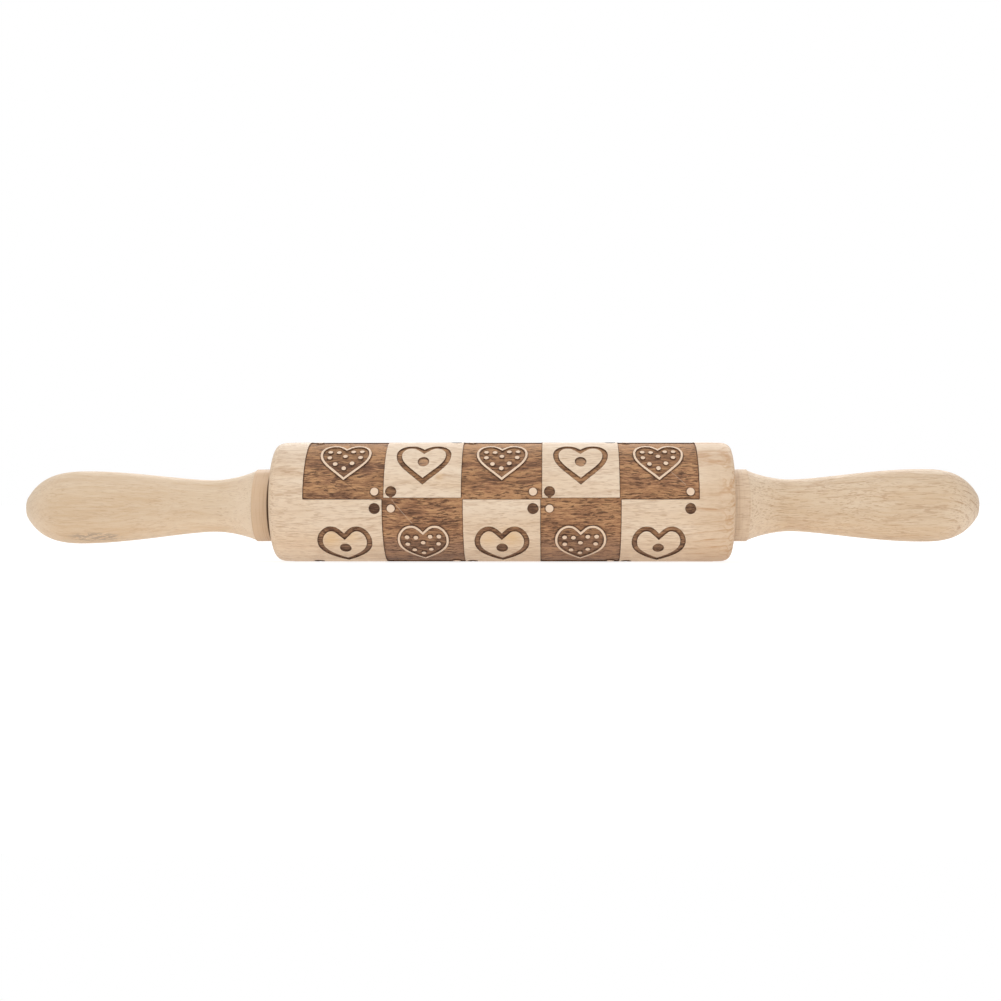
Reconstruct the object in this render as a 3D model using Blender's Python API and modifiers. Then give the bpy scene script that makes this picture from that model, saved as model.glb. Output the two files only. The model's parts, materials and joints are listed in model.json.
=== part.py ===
"""Embossed beech rolling pin.

A turned roller, cut all round with a chequer of hearts and dots, runs in two flanged bushes on a steel axle
that is driven into two turned handles. Lengths are in metres and Z is up. The pin lies along X on its roller.
"""

import math

import bmesh
import bpy
from mathutils import Vector
from mathutils.geometry import delaunay_2d_cdt, interpolate_bezier

# Gaps and edges that every piece shares
SEAT_GAP = 0.0003
WELD_DISTANCE = 0.00001
EDGE_CHAMFER = 0.0004
SMOOTH_ANGLE = math.radians(35)

# Roller
ROLLER_LENGTH = 0.1878
ROLLER_DIAMETER = 0.050
END_TAPER_LENGTH = 0.007
END_TAPER_DROP = 0.00015
END_ROUND_LENGTH = 0.004
END_ROUND_DEPTH = 0.00235
END_ROUND_STEPS = 3
ROLLER_FACETS = 24

# Handles, measured from the face that meets the roller
HANDLE_LENGTH = 0.1022
COLLAR_DIAMETER = 0.030
COLLAR_LENGTH = 0.00675
COLLAR_STEP = 0.0003
NECK_DIAMETER = 0.0216
NECK_PLACE = 0.02505
SWELL_DIAMETER = 0.0302
SWELL_PLACE = 0.07935
TIP_DIAMETER = 0.009
HANDLE_FACETS = 24

# Bezier handles of the handle's three curves, as shares of each curve's length and of its change in radius
COLLAR_CURVE_SHARES = ((0.22, 0.47), (0.38, 0.0))
NECK_CURVE_SHARES = ((0.22, 0.0), (0.37, 0.0))
TIP_CURVE_SHARES = ((0.613, 0.0), (0.197, 0.594))
COLLAR_CURVE_STEPS = 4
NECK_CURVE_STEPS = 5
TIP_CURVE_STEPS = 6

# Axle, bushes and washers
AXLE_DIAMETER = 0.008
AXLE_INSERTION = 0.055
AXLE_PLAY = 0.0014
AXLE_CHAMFER = 0.0008
AXLE_GROOVE_COUNT = 2
AXLE_GROOVE_PITCH = 0.012
AXLE_GROOVE_WIDTH = 0.0015
AXLE_GROOVE_DEPTH = 0.0006
AXLE_FACETS = 16
DRILL_POINT_LENGTH = 0.0025
END_FLOAT = 0.0022
BUSH_WALL = 0.0018
BUSH_LENGTH = 0.014
FLANGE_REACH = 0.0035
FLANGE_THICKNESS = 0.002
WASHER_THICKNESS = 0.001
WASHER_RIM = 0.005
BUSH_FACETS = 20

# Chequer, cut into the roller's face between two plain bands
COLUMN_COUNT = 5
ROW_COUNT = 4
PLAIN_BAND_LENGTH = 0.014525
PATTERN_RISE = 0.0014
ENGRAVING_DEPTH = 0.0006
BURN_OVERLAP = 0.0004

# Heart left standing in each sunk square, with its raised dots
RAISED_HEART_WIDTH = 0.0210
RAISED_HEART_HEIGHT = 0.0203
RAISED_HEART_TIP_RISE = 0.0077
RAISED_RIM = 0.001
SMALL_DOT_DIAMETER = 0.0021
SMALL_DOT_SIDES = 5
SMALL_DOT_SHARES = (
    (-0.314, 0.732), (-0.143, 0.723), (0.138, 0.746), (0.310, 0.751),
    (-0.310, 0.549), (-0.005, 0.592), (0.295, 0.559),
    (-0.186, 0.376), (0.143, 0.394),
    (-0.010, 0.268),
)

# Heart engraved in each plain square, with one round pit
CUT_HEART_WIDTH = 0.0229
CUT_HEART_HEIGHT = 0.0224
CUT_HEART_TIP_RISE = 0.0054
CUT_GROOVE = 0.002
PIT_DIAMETER = 0.0047
PIT_RISE = 0.01645
PIT_SIDES = 8

# Dots in fours round every second corner of the squares
CORNER_DOT_REACH = 0.0033
CORNER_DOT_RISE = 0.00345
CORNER_DOT_DROP = 0.0006
RAISED_DOT_DIAMETER = 0.0032
CUT_DOT_DIAMETER = 0.0045
CORNER_DOT_SIDES = 7

# Half of the heart's outline: notch, top of the lobe, side and tip, as shares of its width and height. Each
# point is given as its arriving handle, itself and its leaving handle.
HEART_SHARES = (
    ((0.0, 0.855), (0.0, 0.855), (0.09, 0.955)),
    ((0.135, 1.0), (0.235, 1.0), (0.375, 1.0)),
    ((0.5, 0.850), (0.5, 0.667), (0.5, 0.395)),
    ((0.295, 0.270), (0.0, 0.0), (0.0, 0.0)),
)
HEART_CURVE_STEPS = (2, 4, 2)

# Sizes that follow from the ones above
ROLLER_RADIUS = ROLLER_DIAMETER / 2
COLUMN_PITCH = (ROLLER_LENGTH - 2 * PLAIN_BAND_LENGTH) / COLUMN_COUNT
FACET_ANGLE = math.tau / ROLLER_FACETS
FACETS_PER_ROW = ROLLER_FACETS // ROW_COUNT
FACET_WIDTH = FACET_ANGLE * ROLLER_RADIUS
ROW_HEIGHT = FACET_WIDTH * FACETS_PER_ROW
SEAM_LINE = 0.5 - (ROW_COUNT - 1) * FACETS_PER_ROW
SEAM = SEAM_LINE * FACET_WIDTH - PATTERN_RISE
BURNED_BELOW = ROLLER_RADIUS * math.cos(FACET_ANGLE / 2) - ENGRAVING_DEPTH / 2
ROLLER_AXIS_HEIGHT = ROLLER_RADIUS * math.cos(FACET_ANGLE / 2)
AXLE_RADIUS = AXLE_DIAMETER / 2
AXLE_AXIS_HEIGHT = ROLLER_AXIS_HEIGHT - AXLE_PLAY
HANDLE_FACE = (ROLLER_LENGTH + END_FLOAT) / 2
ROLLER_SHIFT = END_FLOAT / 2 - SEAT_GAP
BUSH_BORE_RADIUS = AXLE_RADIUS + AXLE_PLAY + SEAT_GAP
BUSH_RADIUS = BUSH_BORE_RADIUS + BUSH_WALL
FLANGE_RADIUS = BUSH_RADIUS + FLANGE_REACH
FLANGE_DEPTH = WASHER_THICKNESS + SEAT_GAP
WASHER_BORE_RADIUS = AXLE_RADIUS + SEAT_GAP
WASHER_RADIUS = WASHER_BORE_RADIUS + WASHER_RIM

# Finishes: colour in sRGB, roughness, metallic
FINISHES = {
    "beech": ((0.84, 0.74, 0.62), 0.55, 0.0),
    "burned_beech": ((0.58, 0.43, 0.32), 0.75, 0.0),
    "bright_steel": ((0.72, 0.72, 0.74), 0.30, 1.0),
    "white_nylon": ((0.90, 0.89, 0.86), 0.45, 0.0),
}


def linear(value):
    """Turn one sRGB channel into the linear value that a shader takes."""
    return ((value + 0.055) / 1.055) ** 2.4


def make_material(name):
    """Make the named finish as a material."""
    colour, roughness, metallic = FINISHES[name]
    material = bpy.data.materials.new(name)
    material.use_nodes = True
    shader = material.node_tree.nodes["Principled BSDF"]
    shader.inputs["Base Color"].default_value = [linear(channel) for channel in colour] + [1.0]
    shader.inputs["Roughness"].default_value = roughness
    shader.inputs["Metallic"].default_value = metallic
    return material


def make_collection(name):
    """Add a collection to the scene."""
    collection = bpy.data.collections.new(name)
    bpy.context.scene.collection.children.link(collection)
    return collection


def make_axis(name, collection, location):
    """Add an empty whose own Z lies along the pin, towards +X."""
    axis = bpy.data.objects.new(name, None)
    axis.location = location
    axis.rotation_euler = (0.0, math.pi / 2, 0.0)
    collection.objects.link(axis)
    return axis


def turned(name, profile, facets, axis, collection, closed=False):
    """Turn a profile of (radius, height) points about the axis's own Z."""
    points = [(radius, 0.0, height) for radius, height in profile]
    edges = [(index, index + 1) for index in range(len(points) - 1)]
    if closed:
        edges.append((len(points) - 1, 0))
    mesh = bpy.data.meshes.new(name)
    mesh.from_pydata(points, edges, [])
    piece = bpy.data.objects.new(name, mesh)
    piece.parent = axis
    collection.objects.link(piece)
    turn = piece.modifiers.new("turn", "SCREW")
    turn.axis = "Z"
    turn.angle = math.tau
    turn.steps = facets
    turn.render_steps = facets
    turn.use_merge_vertices = True
    turn.merge_threshold = WELD_DISTANCE
    return piece


def settle(piece):
    """Make a piece's modifiers part of its mesh, and shade its round faces smooth."""
    bpy.context.view_layer.update()
    graph = bpy.context.evaluated_depsgraph_get()
    mesh = bpy.data.meshes.new_from_object(piece.evaluated_get(graph))
    mesh.name = piece.name
    piece.modifiers.clear()
    piece.data = mesh
    mesh.shade_smooth()
    mesh.set_sharp_from_angle(angle=SMOOTH_ANGLE)


def curve_points(start, end, shares, steps):
    """Follow a Bezier curve between two (radius, place) points, without its first point."""
    (start_run, start_change), (end_run, end_change) = shares
    length = end[1] - start[1]
    change = end[0] - start[0]
    leave = (start[0] + change * start_change, start[1] + length * start_run)
    arrive = (end[0] - change * end_change, end[1] - length * end_run)
    knots = [Vector((radius, place, 0.0)) for radius, place in (start, leave, arrive, end)]
    points = interpolate_bezier(*knots, steps + 1)
    return [(point.x, point.y) for point in points[1:]]


def handle_profile():
    """Outer side of a handle from its tip down to its face, then the blind bore for the axle."""
    collar = COLLAR_DIAMETER / 2
    collar_foot = (collar - COLLAR_STEP, COLLAR_LENGTH)
    neck = (NECK_DIAMETER / 2, NECK_PLACE)
    swell = (SWELL_DIAMETER / 2, SWELL_PLACE)
    tip = (TIP_DIAMETER / 2, HANDLE_LENGTH)
    bore = AXLE_RADIUS + SEAT_GAP
    bore_depth = AXLE_INSERTION + SEAT_GAP
    outside = [
        (collar - EDGE_CHAMFER, 0.0),
        (collar, EDGE_CHAMFER),
        (collar, COLLAR_LENGTH),
        collar_foot,
    ]
    outside += curve_points(collar_foot, neck, COLLAR_CURVE_SHARES, COLLAR_CURVE_STEPS)
    outside += curve_points(neck, swell, NECK_CURVE_SHARES, NECK_CURVE_STEPS)
    outside += curve_points(swell, tip, TIP_CURVE_SHARES, TIP_CURVE_STEPS)
    outside.append((0.0, HANDLE_LENGTH))
    inside = [
        (bore + EDGE_CHAMFER, 0.0),
        (bore, EDGE_CHAMFER),
        (bore, bore_depth),
        (0.0, bore_depth + DRILL_POINT_LENGTH),
    ]
    return outside[::-1] + inside


def roller_end_profile():
    """One end of the roller from its taper in over its end face to its bore, as (radius, place) points."""
    face = ROLLER_LENGTH / 2
    edge = ROLLER_RADIUS - END_TAPER_DROP
    recess = face - FLANGE_DEPTH - FLANGE_THICKNESS - SEAT_GAP
    seat = recess - BUSH_LENGTH - SEAT_GAP
    points = []
    for step in range(END_ROUND_STEPS + 1):
        angle = math.pi / 2 * step / END_ROUND_STEPS
        radius = edge - END_ROUND_DEPTH * (1 - math.cos(angle))
        place = face - END_ROUND_LENGTH * (1 - math.sin(angle))
        points.append((radius, place))
    points.append((FLANGE_RADIUS + SEAT_GAP, face))
    points.append((FLANGE_RADIUS + SEAT_GAP, recess))
    points.append((BUSH_RADIUS + SEAT_GAP, recess))
    points.append((BUSH_RADIUS + SEAT_GAP, seat))
    points.append((BUSH_BORE_RADIUS + SEAT_GAP, seat))
    return points


def axle_profile():
    """Half of the axle from its end to its middle, with ring grooves where it is held in the handle."""
    end = HANDLE_FACE + AXLE_INSERTION
    points = [(0.0, end), (AXLE_RADIUS - AXLE_CHAMFER, end), (AXLE_RADIUS, end - AXLE_CHAMFER)]
    for groove in range(1, AXLE_GROOVE_COUNT + 1):
        top = end - groove * AXLE_GROOVE_PITCH
        bottom = top - AXLE_GROOVE_WIDTH
        floor = AXLE_RADIUS - AXLE_GROOVE_DEPTH
        points.append((AXLE_RADIUS, top))
        points.append((floor, top - AXLE_GROOVE_DEPTH))
        points.append((floor, bottom))
        points.append((AXLE_RADIUS, bottom - AXLE_GROOVE_DEPTH))
    return points


def mirrored(points):
    """Repeat a half profile below the middle, so that the whole runs from top to bottom."""
    return points + [(radius, -place) for radius, place in reversed(points)]


def circle(centre, diameter, sides):
    """Outline of a round dot."""
    radius = diameter / 2
    angles = [math.tau * (side + 0.5) / sides for side in range(sides)]
    return [(centre[0] + radius * math.cos(angle), centre[1] + radius * math.sin(angle)) for angle in angles]


def heart(tip, width, height):
    """Outline of a heart that stands on its tip, with its lobes up."""
    half = []
    for start, end, steps in zip(HEART_SHARES, HEART_SHARES[1:], HEART_CURVE_STEPS):
        shares = (start[1], start[2], end[0], end[1])
        knots = [Vector((across * width, up * height, 0.0)) for across, up in shares]
        half += interpolate_bezier(*knots, steps + 1)[:-1]
    right = [(tip[0] + point.x, tip[1] + point.y) for point in half]
    left = [(tip[0] - point.x, tip[1] + point.y) for point in half[1:]]
    return right + [tip] + left[::-1]


def inset(outline, distance):
    """Move each side of a clockwise outline inwards, and let neighbouring sides meet again."""
    points = [Vector(point) for point in outline]
    moved = []
    for index, point in enumerate(points):
        arriving = (point - points[index - 1]).normalized()
        leaving = (points[(index + 1) % len(points)] - point).normalized()
        inward = Vector((arriving.y + leaving.y, -arriving.x - leaving.x)).normalized()
        reach = distance / inward.dot(Vector((leaving.y, -leaving.x)))
        moved.append(tuple(point + inward * reach))
    return moved


def sunk_square_outlines():
    """Outlines of a sunk square: its edge, then the heart's rim and the dots that stay standing in it."""
    low = -BURN_OVERLAP
    right = COLUMN_PITCH + BURN_OVERLAP
    high = ROW_HEIGHT + BURN_OVERLAP
    square = [(low, low), (right, low), (right, high), (low, high)]
    tip = (COLUMN_PITCH / 2, RAISED_HEART_TIP_RISE)
    rim = heart(tip, RAISED_HEART_WIDTH, RAISED_HEART_HEIGHT)
    outlines = [square, rim, inset(rim, RAISED_RIM)]
    for across, up in SMALL_DOT_SHARES:
        centre = (tip[0] + across * RAISED_HEART_WIDTH, tip[1] + up * RAISED_HEART_HEIGHT)
        outlines.append(circle(centre, SMALL_DOT_DIAMETER, SMALL_DOT_SIDES))
    above = CORNER_DOT_RISE - CORNER_DOT_DROP
    below = ROW_HEIGHT - CORNER_DOT_RISE - CORNER_DOT_DROP
    for centre in ((COLUMN_PITCH - CORNER_DOT_REACH, above), (CORNER_DOT_REACH, below)):
        outlines.append(circle(centre, RAISED_DOT_DIAMETER, CORNER_DOT_SIDES))
    return outlines


def plain_square_outlines():
    """Outlines of the cuts in a plain square: the heart's groove, the pit in it and the corner dots."""
    tip = (COLUMN_PITCH / 2, CUT_HEART_TIP_RISE)
    edge = heart(tip, CUT_HEART_WIDTH, CUT_HEART_HEIGHT)
    outlines = [edge, inset(edge, CUT_GROOVE)]
    outlines.append(circle((tip[0], PIT_RISE), PIT_DIAMETER, PIT_SIDES))
    above = CORNER_DOT_RISE - CORNER_DOT_DROP
    below = ROW_HEIGHT - CORNER_DOT_RISE - CORNER_DOT_DROP
    for centre in ((CORNER_DOT_REACH, above), (COLUMN_PITCH - CORNER_DOT_REACH, below)):
        outlines.append(circle(centre, CUT_DOT_DIAMETER, CORNER_DOT_SIDES))
    return outlines


def drawn_squares():
    """Outlines of every square of the chequer on the unrolled face, and of the rows that meet its seam."""
    kinds = (sunk_square_outlines(), plain_square_outlines())
    squares = []
    for row in range(-1, ROW_COUNT + 1):
        for column in range(COLUMN_COUNT):
            left = (column - COLUMN_COUNT / 2) * COLUMN_PITCH
            foot = -row * ROW_HEIGHT
            outlines = kinds[(row + column) % 2]
            squares.append([[(left + across, foot + up) for across, up in outline] for outline in outlines])
    return squares


def holds(outline, across, up):
    """Say whether a point lies inside an outline."""
    inside = False
    for (first_across, first_up), (last_across, last_up) in zip(outline, outline[-1:] + outline[:-1]):
        if (first_up > up) != (last_up > up):
            crossing = first_across + (last_across - first_across) * (up - first_up) / (last_up - first_up)
            inside = inside != (across < crossing)
    return inside


def flat_face(squares):
    """Draw the squares and the roller's facet lines on the unrolled face, and fill between all of them."""
    side = ROLLER_LENGTH / 2 - END_TAPER_LENGTH
    points = []
    edges = []
    for line in range(ROLLER_FACETS + 1):
        up = SEAM + line * FACET_WIDTH
        edges.append((len(points), len(points) + 1))
        points += [(-side, up), (side, up)]
    last = len(points) - 1
    edges += [(0, last - 1), (1, last)]
    for outlines in squares:
        for outline in outlines:
            first = len(points)
            count = len(outline)
            points += outline
            edges += [(first + index, first + (index + 1) % count) for index in range(count)]
    drawing = delaunay_2d_cdt([Vector(point) for point in points], edges, [], 0, WELD_DISTANCE)
    places, _, triangles = drawing[:3]
    return places, triangles


def is_cut(across, up, squares):
    """Say whether the burn takes away the roller's face at a point."""
    for outlines in squares:
        if sum(holds(outline, across, up) for outline in outlines) % 2:
            return True
    return False


def on_roller(across, up):
    """Place of a point of the unrolled face on the roller's facets, in the roller's own frame."""
    lines = (up - SEAM) / FACET_WIDTH
    first = math.floor(lines + WELD_DISTANCE / FACET_WIDTH)
    corners = []
    for line in (first, first + 1):
        angle = FACET_ANGLE * (SEAM_LINE + line)
        corners.append(Vector((-ROLLER_RADIUS * math.sin(angle), -ROLLER_RADIUS * math.cos(angle), across)))
    return corners[0].lerp(corners[1], lines - first)


def set_ring(ring, radius, place):
    """Move a ring of vertices to a radius and a place along the axis."""
    for vertex in ring:
        scale = radius / math.hypot(vertex.co.x, vertex.co.y)
        vertex.co = (vertex.co.x * scale, vertex.co.y * scale, place)


def make_roller(axis, pieces, materials):
    """Roll the drawn face up, sink the burned parts of it, and close both ends round the stepped bore."""
    squares = drawn_squares()
    places, triangles = flat_face(squares)
    body = bmesh.new()
    corners = [body.verts.new((place.x, place.y, 0.0)) for place in places]
    burned = []
    for triangle in triangles:
        across = sum(places[index].x for index in triangle) / len(triangle)
        up = sum(places[index].y for index in triangle) / len(triangle)
        if not SEAM < up < SEAM + ROW_COUNT * ROW_HEIGHT:
            continue
        face = body.faces.new([corners[index] for index in triangle])
        if is_cut(across, up, squares):
            burned.append(face)
    bmesh.ops.delete(body, geom=[vertex for vertex in body.verts if not vertex.link_faces], context="VERTS")
    for vertex in body.verts:
        vertex.co = on_roller(vertex.co.x, vertex.co.y)
    bmesh.ops.remove_doubles(body, verts=body.verts, dist=WELD_DISTANCE)

    burned = [face for face in burned if face.is_valid]
    sunk = bmesh.ops.extrude_face_region(body, geom=burned)["geom"]
    bmesh.ops.delete(body, geom=burned, context="FACES")
    for vertex in sunk:
        if isinstance(vertex, bmesh.types.BMVert):
            vertex.co.xy *= (ROLLER_RADIUS - ENGRAVING_DEPTH) / ROLLER_RADIUS
    for face in body.faces:
        face.material_index = int(any(math.hypot(*vertex.co.xy) < BURNED_BELOW for vertex in face.verts))

    profile = roller_end_profile()
    bore_edges = []
    for direction in (-1, 1):
        edges = [edge for edge in body.edges if edge.is_boundary and edge.verts[0].co.z * direction > 0.0]
        for radius, place in profile:
            grown = bmesh.ops.extrude_edge_only(body, edges=edges)["geom"]
            edges = [item for item in grown if isinstance(item, bmesh.types.BMEdge) and item.is_boundary]
            set_ring([item for item in grown if isinstance(item, bmesh.types.BMVert)], radius, direction * place)
        bore_edges += edges
    bmesh.ops.bridge_loops(body, edges=bore_edges)
    bmesh.ops.recalc_face_normals(body, faces=body.faces)

    mesh = bpy.data.meshes.new("roller")
    body.to_mesh(mesh)
    body.free()
    mesh.materials.append(materials["beech"])
    mesh.materials.append(materials["burned_beech"])
    mesh.shade_smooth()
    mesh.set_sharp_from_angle(angle=SMOOTH_ANGLE)
    roller = bpy.data.objects.new("roller", mesh)
    roller.parent = axis
    pieces.objects.link(roller)


def make_axle(axis, pieces, materials):
    """Turn the axle rod that joins the two handles."""
    axle = turned("axle_rod", mirrored(axle_profile()), AXLE_FACETS, axis, pieces)
    axle.data.materials.append(materials["bright_steel"])
    settle(axle)


def make_end(side, direction, roller_axis, axle_axis, pieces, materials):
    """Make the handle, washer and bush at one end. The direction is 1 to the right and -1 to the left."""
    turn_over = (0.0, 0.0, 0.0) if direction > 0 else (math.pi, 0.0, 0.0)

    handle = turned(side + "_handle", handle_profile(), HANDLE_FACETS, axle_axis, pieces)
    handle.location = (0.0, 0.0, direction * HANDLE_FACE)
    handle.rotation_euler = turn_over
    handle.data.materials.append(materials["beech"])
    settle(handle)

    washer_profile = [
        (WASHER_BORE_RADIUS, 0.0),
        (WASHER_RADIUS, 0.0),
        (WASHER_RADIUS, -WASHER_THICKNESS),
        (WASHER_BORE_RADIUS, -WASHER_THICKNESS),
    ]
    washer = turned(side + "_washer", washer_profile, BUSH_FACETS, axle_axis, pieces, closed=True)
    washer.location = (0.0, 0.0, direction * (HANDLE_FACE - SEAT_GAP))
    washer.rotation_euler = turn_over
    washer.data.materials.append(materials["bright_steel"])
    settle(washer)

    bush_profile = [
        (BUSH_BORE_RADIUS, 0.0),
        (FLANGE_RADIUS, 0.0),
        (FLANGE_RADIUS, -FLANGE_THICKNESS),
        (BUSH_RADIUS, -FLANGE_THICKNESS),
        (BUSH_RADIUS, -FLANGE_THICKNESS - BUSH_LENGTH + EDGE_CHAMFER),
        (BUSH_RADIUS - EDGE_CHAMFER, -FLANGE_THICKNESS - BUSH_LENGTH),
        (BUSH_BORE_RADIUS, -FLANGE_THICKNESS - BUSH_LENGTH),
    ]
    bush = turned(side + "_bush", bush_profile, BUSH_FACETS, roller_axis, pieces, closed=True)
    bush.location = (0.0, 0.0, direction * (ROLLER_LENGTH / 2 - FLANGE_DEPTH))
    bush.rotation_euler = turn_over
    bush.data.materials.append(materials["white_nylon"])
    settle(bush)


def main():
    """Build the whole pin."""
    for leftover in list(bpy.data.objects):
        bpy.data.objects.remove(leftover)
    pieces = make_collection("embossed_rolling_pin")
    materials = {name: make_material(name) for name in FINISHES}
    roller_axis = make_axis("roller_axis", pieces, (ROLLER_SHIFT, 0.0, ROLLER_AXIS_HEIGHT))
    axle_axis = make_axis("axle_axis", pieces, (0.0, 0.0, AXLE_AXIS_HEIGHT))
    make_roller(roller_axis, pieces, materials)
    make_axle(axle_axis, pieces, materials)
    for side, direction in (("left", -1), ("right", 1)):
        make_end(side, direction, roller_axis, axle_axis, pieces, materials)


main()
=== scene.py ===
"""Looks of an embossed beech rolling pin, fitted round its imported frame.

The roller carries a burned chequer of hearts and dots, cut into its face. Two turned handles are joined by a
steel axle that runs in flanged bushes. Lengths are in metres, and the pin lies along X.
"""

import json
import math

import bmesh
import bpy
import numpy as np
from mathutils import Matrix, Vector, noise
from mathutils.geometry import delaunay_2d_cdt, interpolate_bezier

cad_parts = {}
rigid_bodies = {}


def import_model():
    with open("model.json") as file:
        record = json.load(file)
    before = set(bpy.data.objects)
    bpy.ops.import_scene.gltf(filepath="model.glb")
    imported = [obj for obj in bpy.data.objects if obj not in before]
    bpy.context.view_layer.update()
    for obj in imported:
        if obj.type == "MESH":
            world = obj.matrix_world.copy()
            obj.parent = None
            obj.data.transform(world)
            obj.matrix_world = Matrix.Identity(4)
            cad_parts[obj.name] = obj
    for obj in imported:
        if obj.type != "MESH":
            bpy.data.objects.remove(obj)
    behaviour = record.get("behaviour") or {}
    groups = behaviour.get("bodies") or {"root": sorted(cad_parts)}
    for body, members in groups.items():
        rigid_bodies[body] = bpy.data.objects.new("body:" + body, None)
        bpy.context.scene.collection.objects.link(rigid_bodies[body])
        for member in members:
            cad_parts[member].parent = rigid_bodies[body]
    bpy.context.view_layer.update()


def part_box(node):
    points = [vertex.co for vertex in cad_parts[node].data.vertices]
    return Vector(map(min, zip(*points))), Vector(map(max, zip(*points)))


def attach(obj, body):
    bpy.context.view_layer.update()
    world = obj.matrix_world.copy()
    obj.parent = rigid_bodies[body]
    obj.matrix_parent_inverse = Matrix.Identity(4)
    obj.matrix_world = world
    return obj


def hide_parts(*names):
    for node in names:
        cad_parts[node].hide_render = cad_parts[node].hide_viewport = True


bl_info = {
    "name": "Embossed Rolling Pin",
    "version": (1, 0, 0),
    "blender": (4, 5, 0),
    "location": "View3D > Sidebar > Rolling Pin",
    "description": "Builds a beech rolling pin with a burned chequer of hearts and dots",
    "category": "Add Mesh",
}

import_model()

SMOOTH_ANGLE = math.radians(35)

# Points nearer than this are one point, and a change of scale or a length below this is none
WELD = 0.000002
TINY = 1e-9

# Orange tints in the plain wood: a place on the roller's face, the tint's radius and its strength
HONEY_SPOTS = (
    ((-0.0680, -0.0201, 0.0101), 0.0068, 0.85),
    ((-0.0600, -0.0205, 0.0111), 0.0055, 0.50),
    ((-0.0048, -0.0201, 0.0101), 0.0065, 0.60),
    ((0.0045, -0.0200, 0.0104), 0.0075, 0.80),
    ((-0.0244, -0.0227, 0.0351), 0.0030, 0.45),
)

# Dirt on the handles: its middle, its half lengths, how patchy it is (0 is even) and its strength
STAINS = (
    ((-0.1680, -0.0076, 0.0105), (0.0135, 0.0070, 0.0026), 0.44, 0.50),
    ((0.1966, -0.0030, 0.0222), (0.0008, 0.0008, 0.0006), 0.0, 1.0),
)

# The wood of each handle: its place in the grain, how dense its flecks are, and how strong its marks show
HANDLE_WOOD = {
    "left": {"seed": 0.31, "density": 0.34, "dashes": 0.24, "rings": 0.06, "collar": 0.85},
    "right": {"seed": 0.77, "density": 0.66, "dashes": 0.50, "rings": 0.34, "collar": 0.22},
}

# Where along the pin the look of a handle's tip begins, and how far from a handle's axis the roller's end carries
# painted shade from the gap at the handle's collar
TIP_START = 0.178
JOINT_SHADE_REACH = 0.0172

# How a handle's curves leave one point and meet the next, as shares of the run and of the change in radius
NECK_CURVE = ((0.22, 0.47), (0.38, 0.0))
SWELL_CURVE = ((0.22, 0.0), (0.37, 0.0))
TIP_CURVES = {"left": ((0.53, 0.0), (0.22, 0.72)), "right": ((0.35, 0.0), (0.265, 0.96))}
CURVE_STEPS = (14, 18, 30)

# The middle of a handle's rounded front edge as a share of the edge, the step behind its collar, and the point that
# the drill left in its bore: length and radius
EDGE_MIDDLE = 0.3
STEP_WIDTH = 0.0001
DRILL_POINT = (0.0025, 0.00002)

# The roller: places on its taper, the steps of its rounded corner, and its holes for a bush's sleeve and the axle
TAPER_SHARES = (0.4, 0.2)
ROUND_STEPS = 12
SLEEVE_HOLE = 0.0078
ROD_HOLE = 0.0060

# How closely the burned edges wander, in turns a metre, and the seed that keeps their wandering the same each run
WOBBLE_TURNS = 900.0
WOBBLE_SEED = 1

# From what share of its radius on the roller is face, and not bore
FACE_SHARE = 0.9

# The axle's end and one of its holding grooves: how far in along the pin, and how deep
AXLE_END = ((0.0, 0.0008), (0.0003, 0.0003), (0.0008, 0.0))
AXLE_GROOVE = ((0.0, 0.0), (0.0006, 0.0006), (0.0015, 0.0006), (0.0021, 0.0))
GROOVE_SPACING = 0.012

# A bush: its flange, its sleeve, its bore and the breaks of their edges
FLANGE_THICKNESS = 0.0020
FLANGE_EDGE = 0.0003
SLEEVE_RADIUS = 0.0075
SLEEVE_EDGE = 0.0004
BUSH_BORE = 0.0057
BORE_EDGE = 0.0002

# A washer: the width of its ring, and the break of its edges
WASHER_WIDTH = 0.005
WASHER_EDGE = 0.00015

# How many sides the round pieces have, and the round cuts
HANDLE_SIDES = 96
AXLE_SIDES = 48
BUSH_SIDES = 64
PIT_SIDES = 28
DOT_SIDES = 20
SMALL_DOT_SIDES = 12

# The floor: its size, its grey and glow as light meets it, its grey to the eye, and how its glow to the eye grows:
# from one distance to another, and from one strength to another
FLOOR_SIZE = 12.0
FLOOR_LIGHT = (0.80, 0.35)
FLOOR_GREY = 0.36
FLOOR_FADE = (0.35, 1.6, 0.83, 0.97)

# The world's strength, and the lamps: place, size and power. All lamps point at one place.
WORLD_LIGHT = 0.31
LAMP_TARGET = (0.0, 0.0, 0.02)
LAMPS = (
    ("top_light", (-0.15, -0.25, 1.30), (1.4, 1.0), 9.0),
    ("front_light", (0.25, -1.50, 0.50), (1.6, 0.8), 3.7),
    ("low_light", (-0.10, -1.20, 0.10), (1.6, 0.16), 2.0),
    ("back_light", (0.10, 0.90, 0.75), (1.4, 0.5), 6.6),
)

# The roller's flat drawing: the radius that it is drawn for, its squares and where its seam lies
DRAWN_RADIUS = 0.025
COLUMN_COUNT = 5
ROW_COUNT = 4
ROW_HEIGHT = math.tau * DRAWN_RADIUS / ROW_COUNT
SEAM_ABOVE_ROW = 0.00525
FACETS_PER_ROW = 60
CORNER_STEPS = 3
LEAST_CORNER = 0.00012

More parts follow.
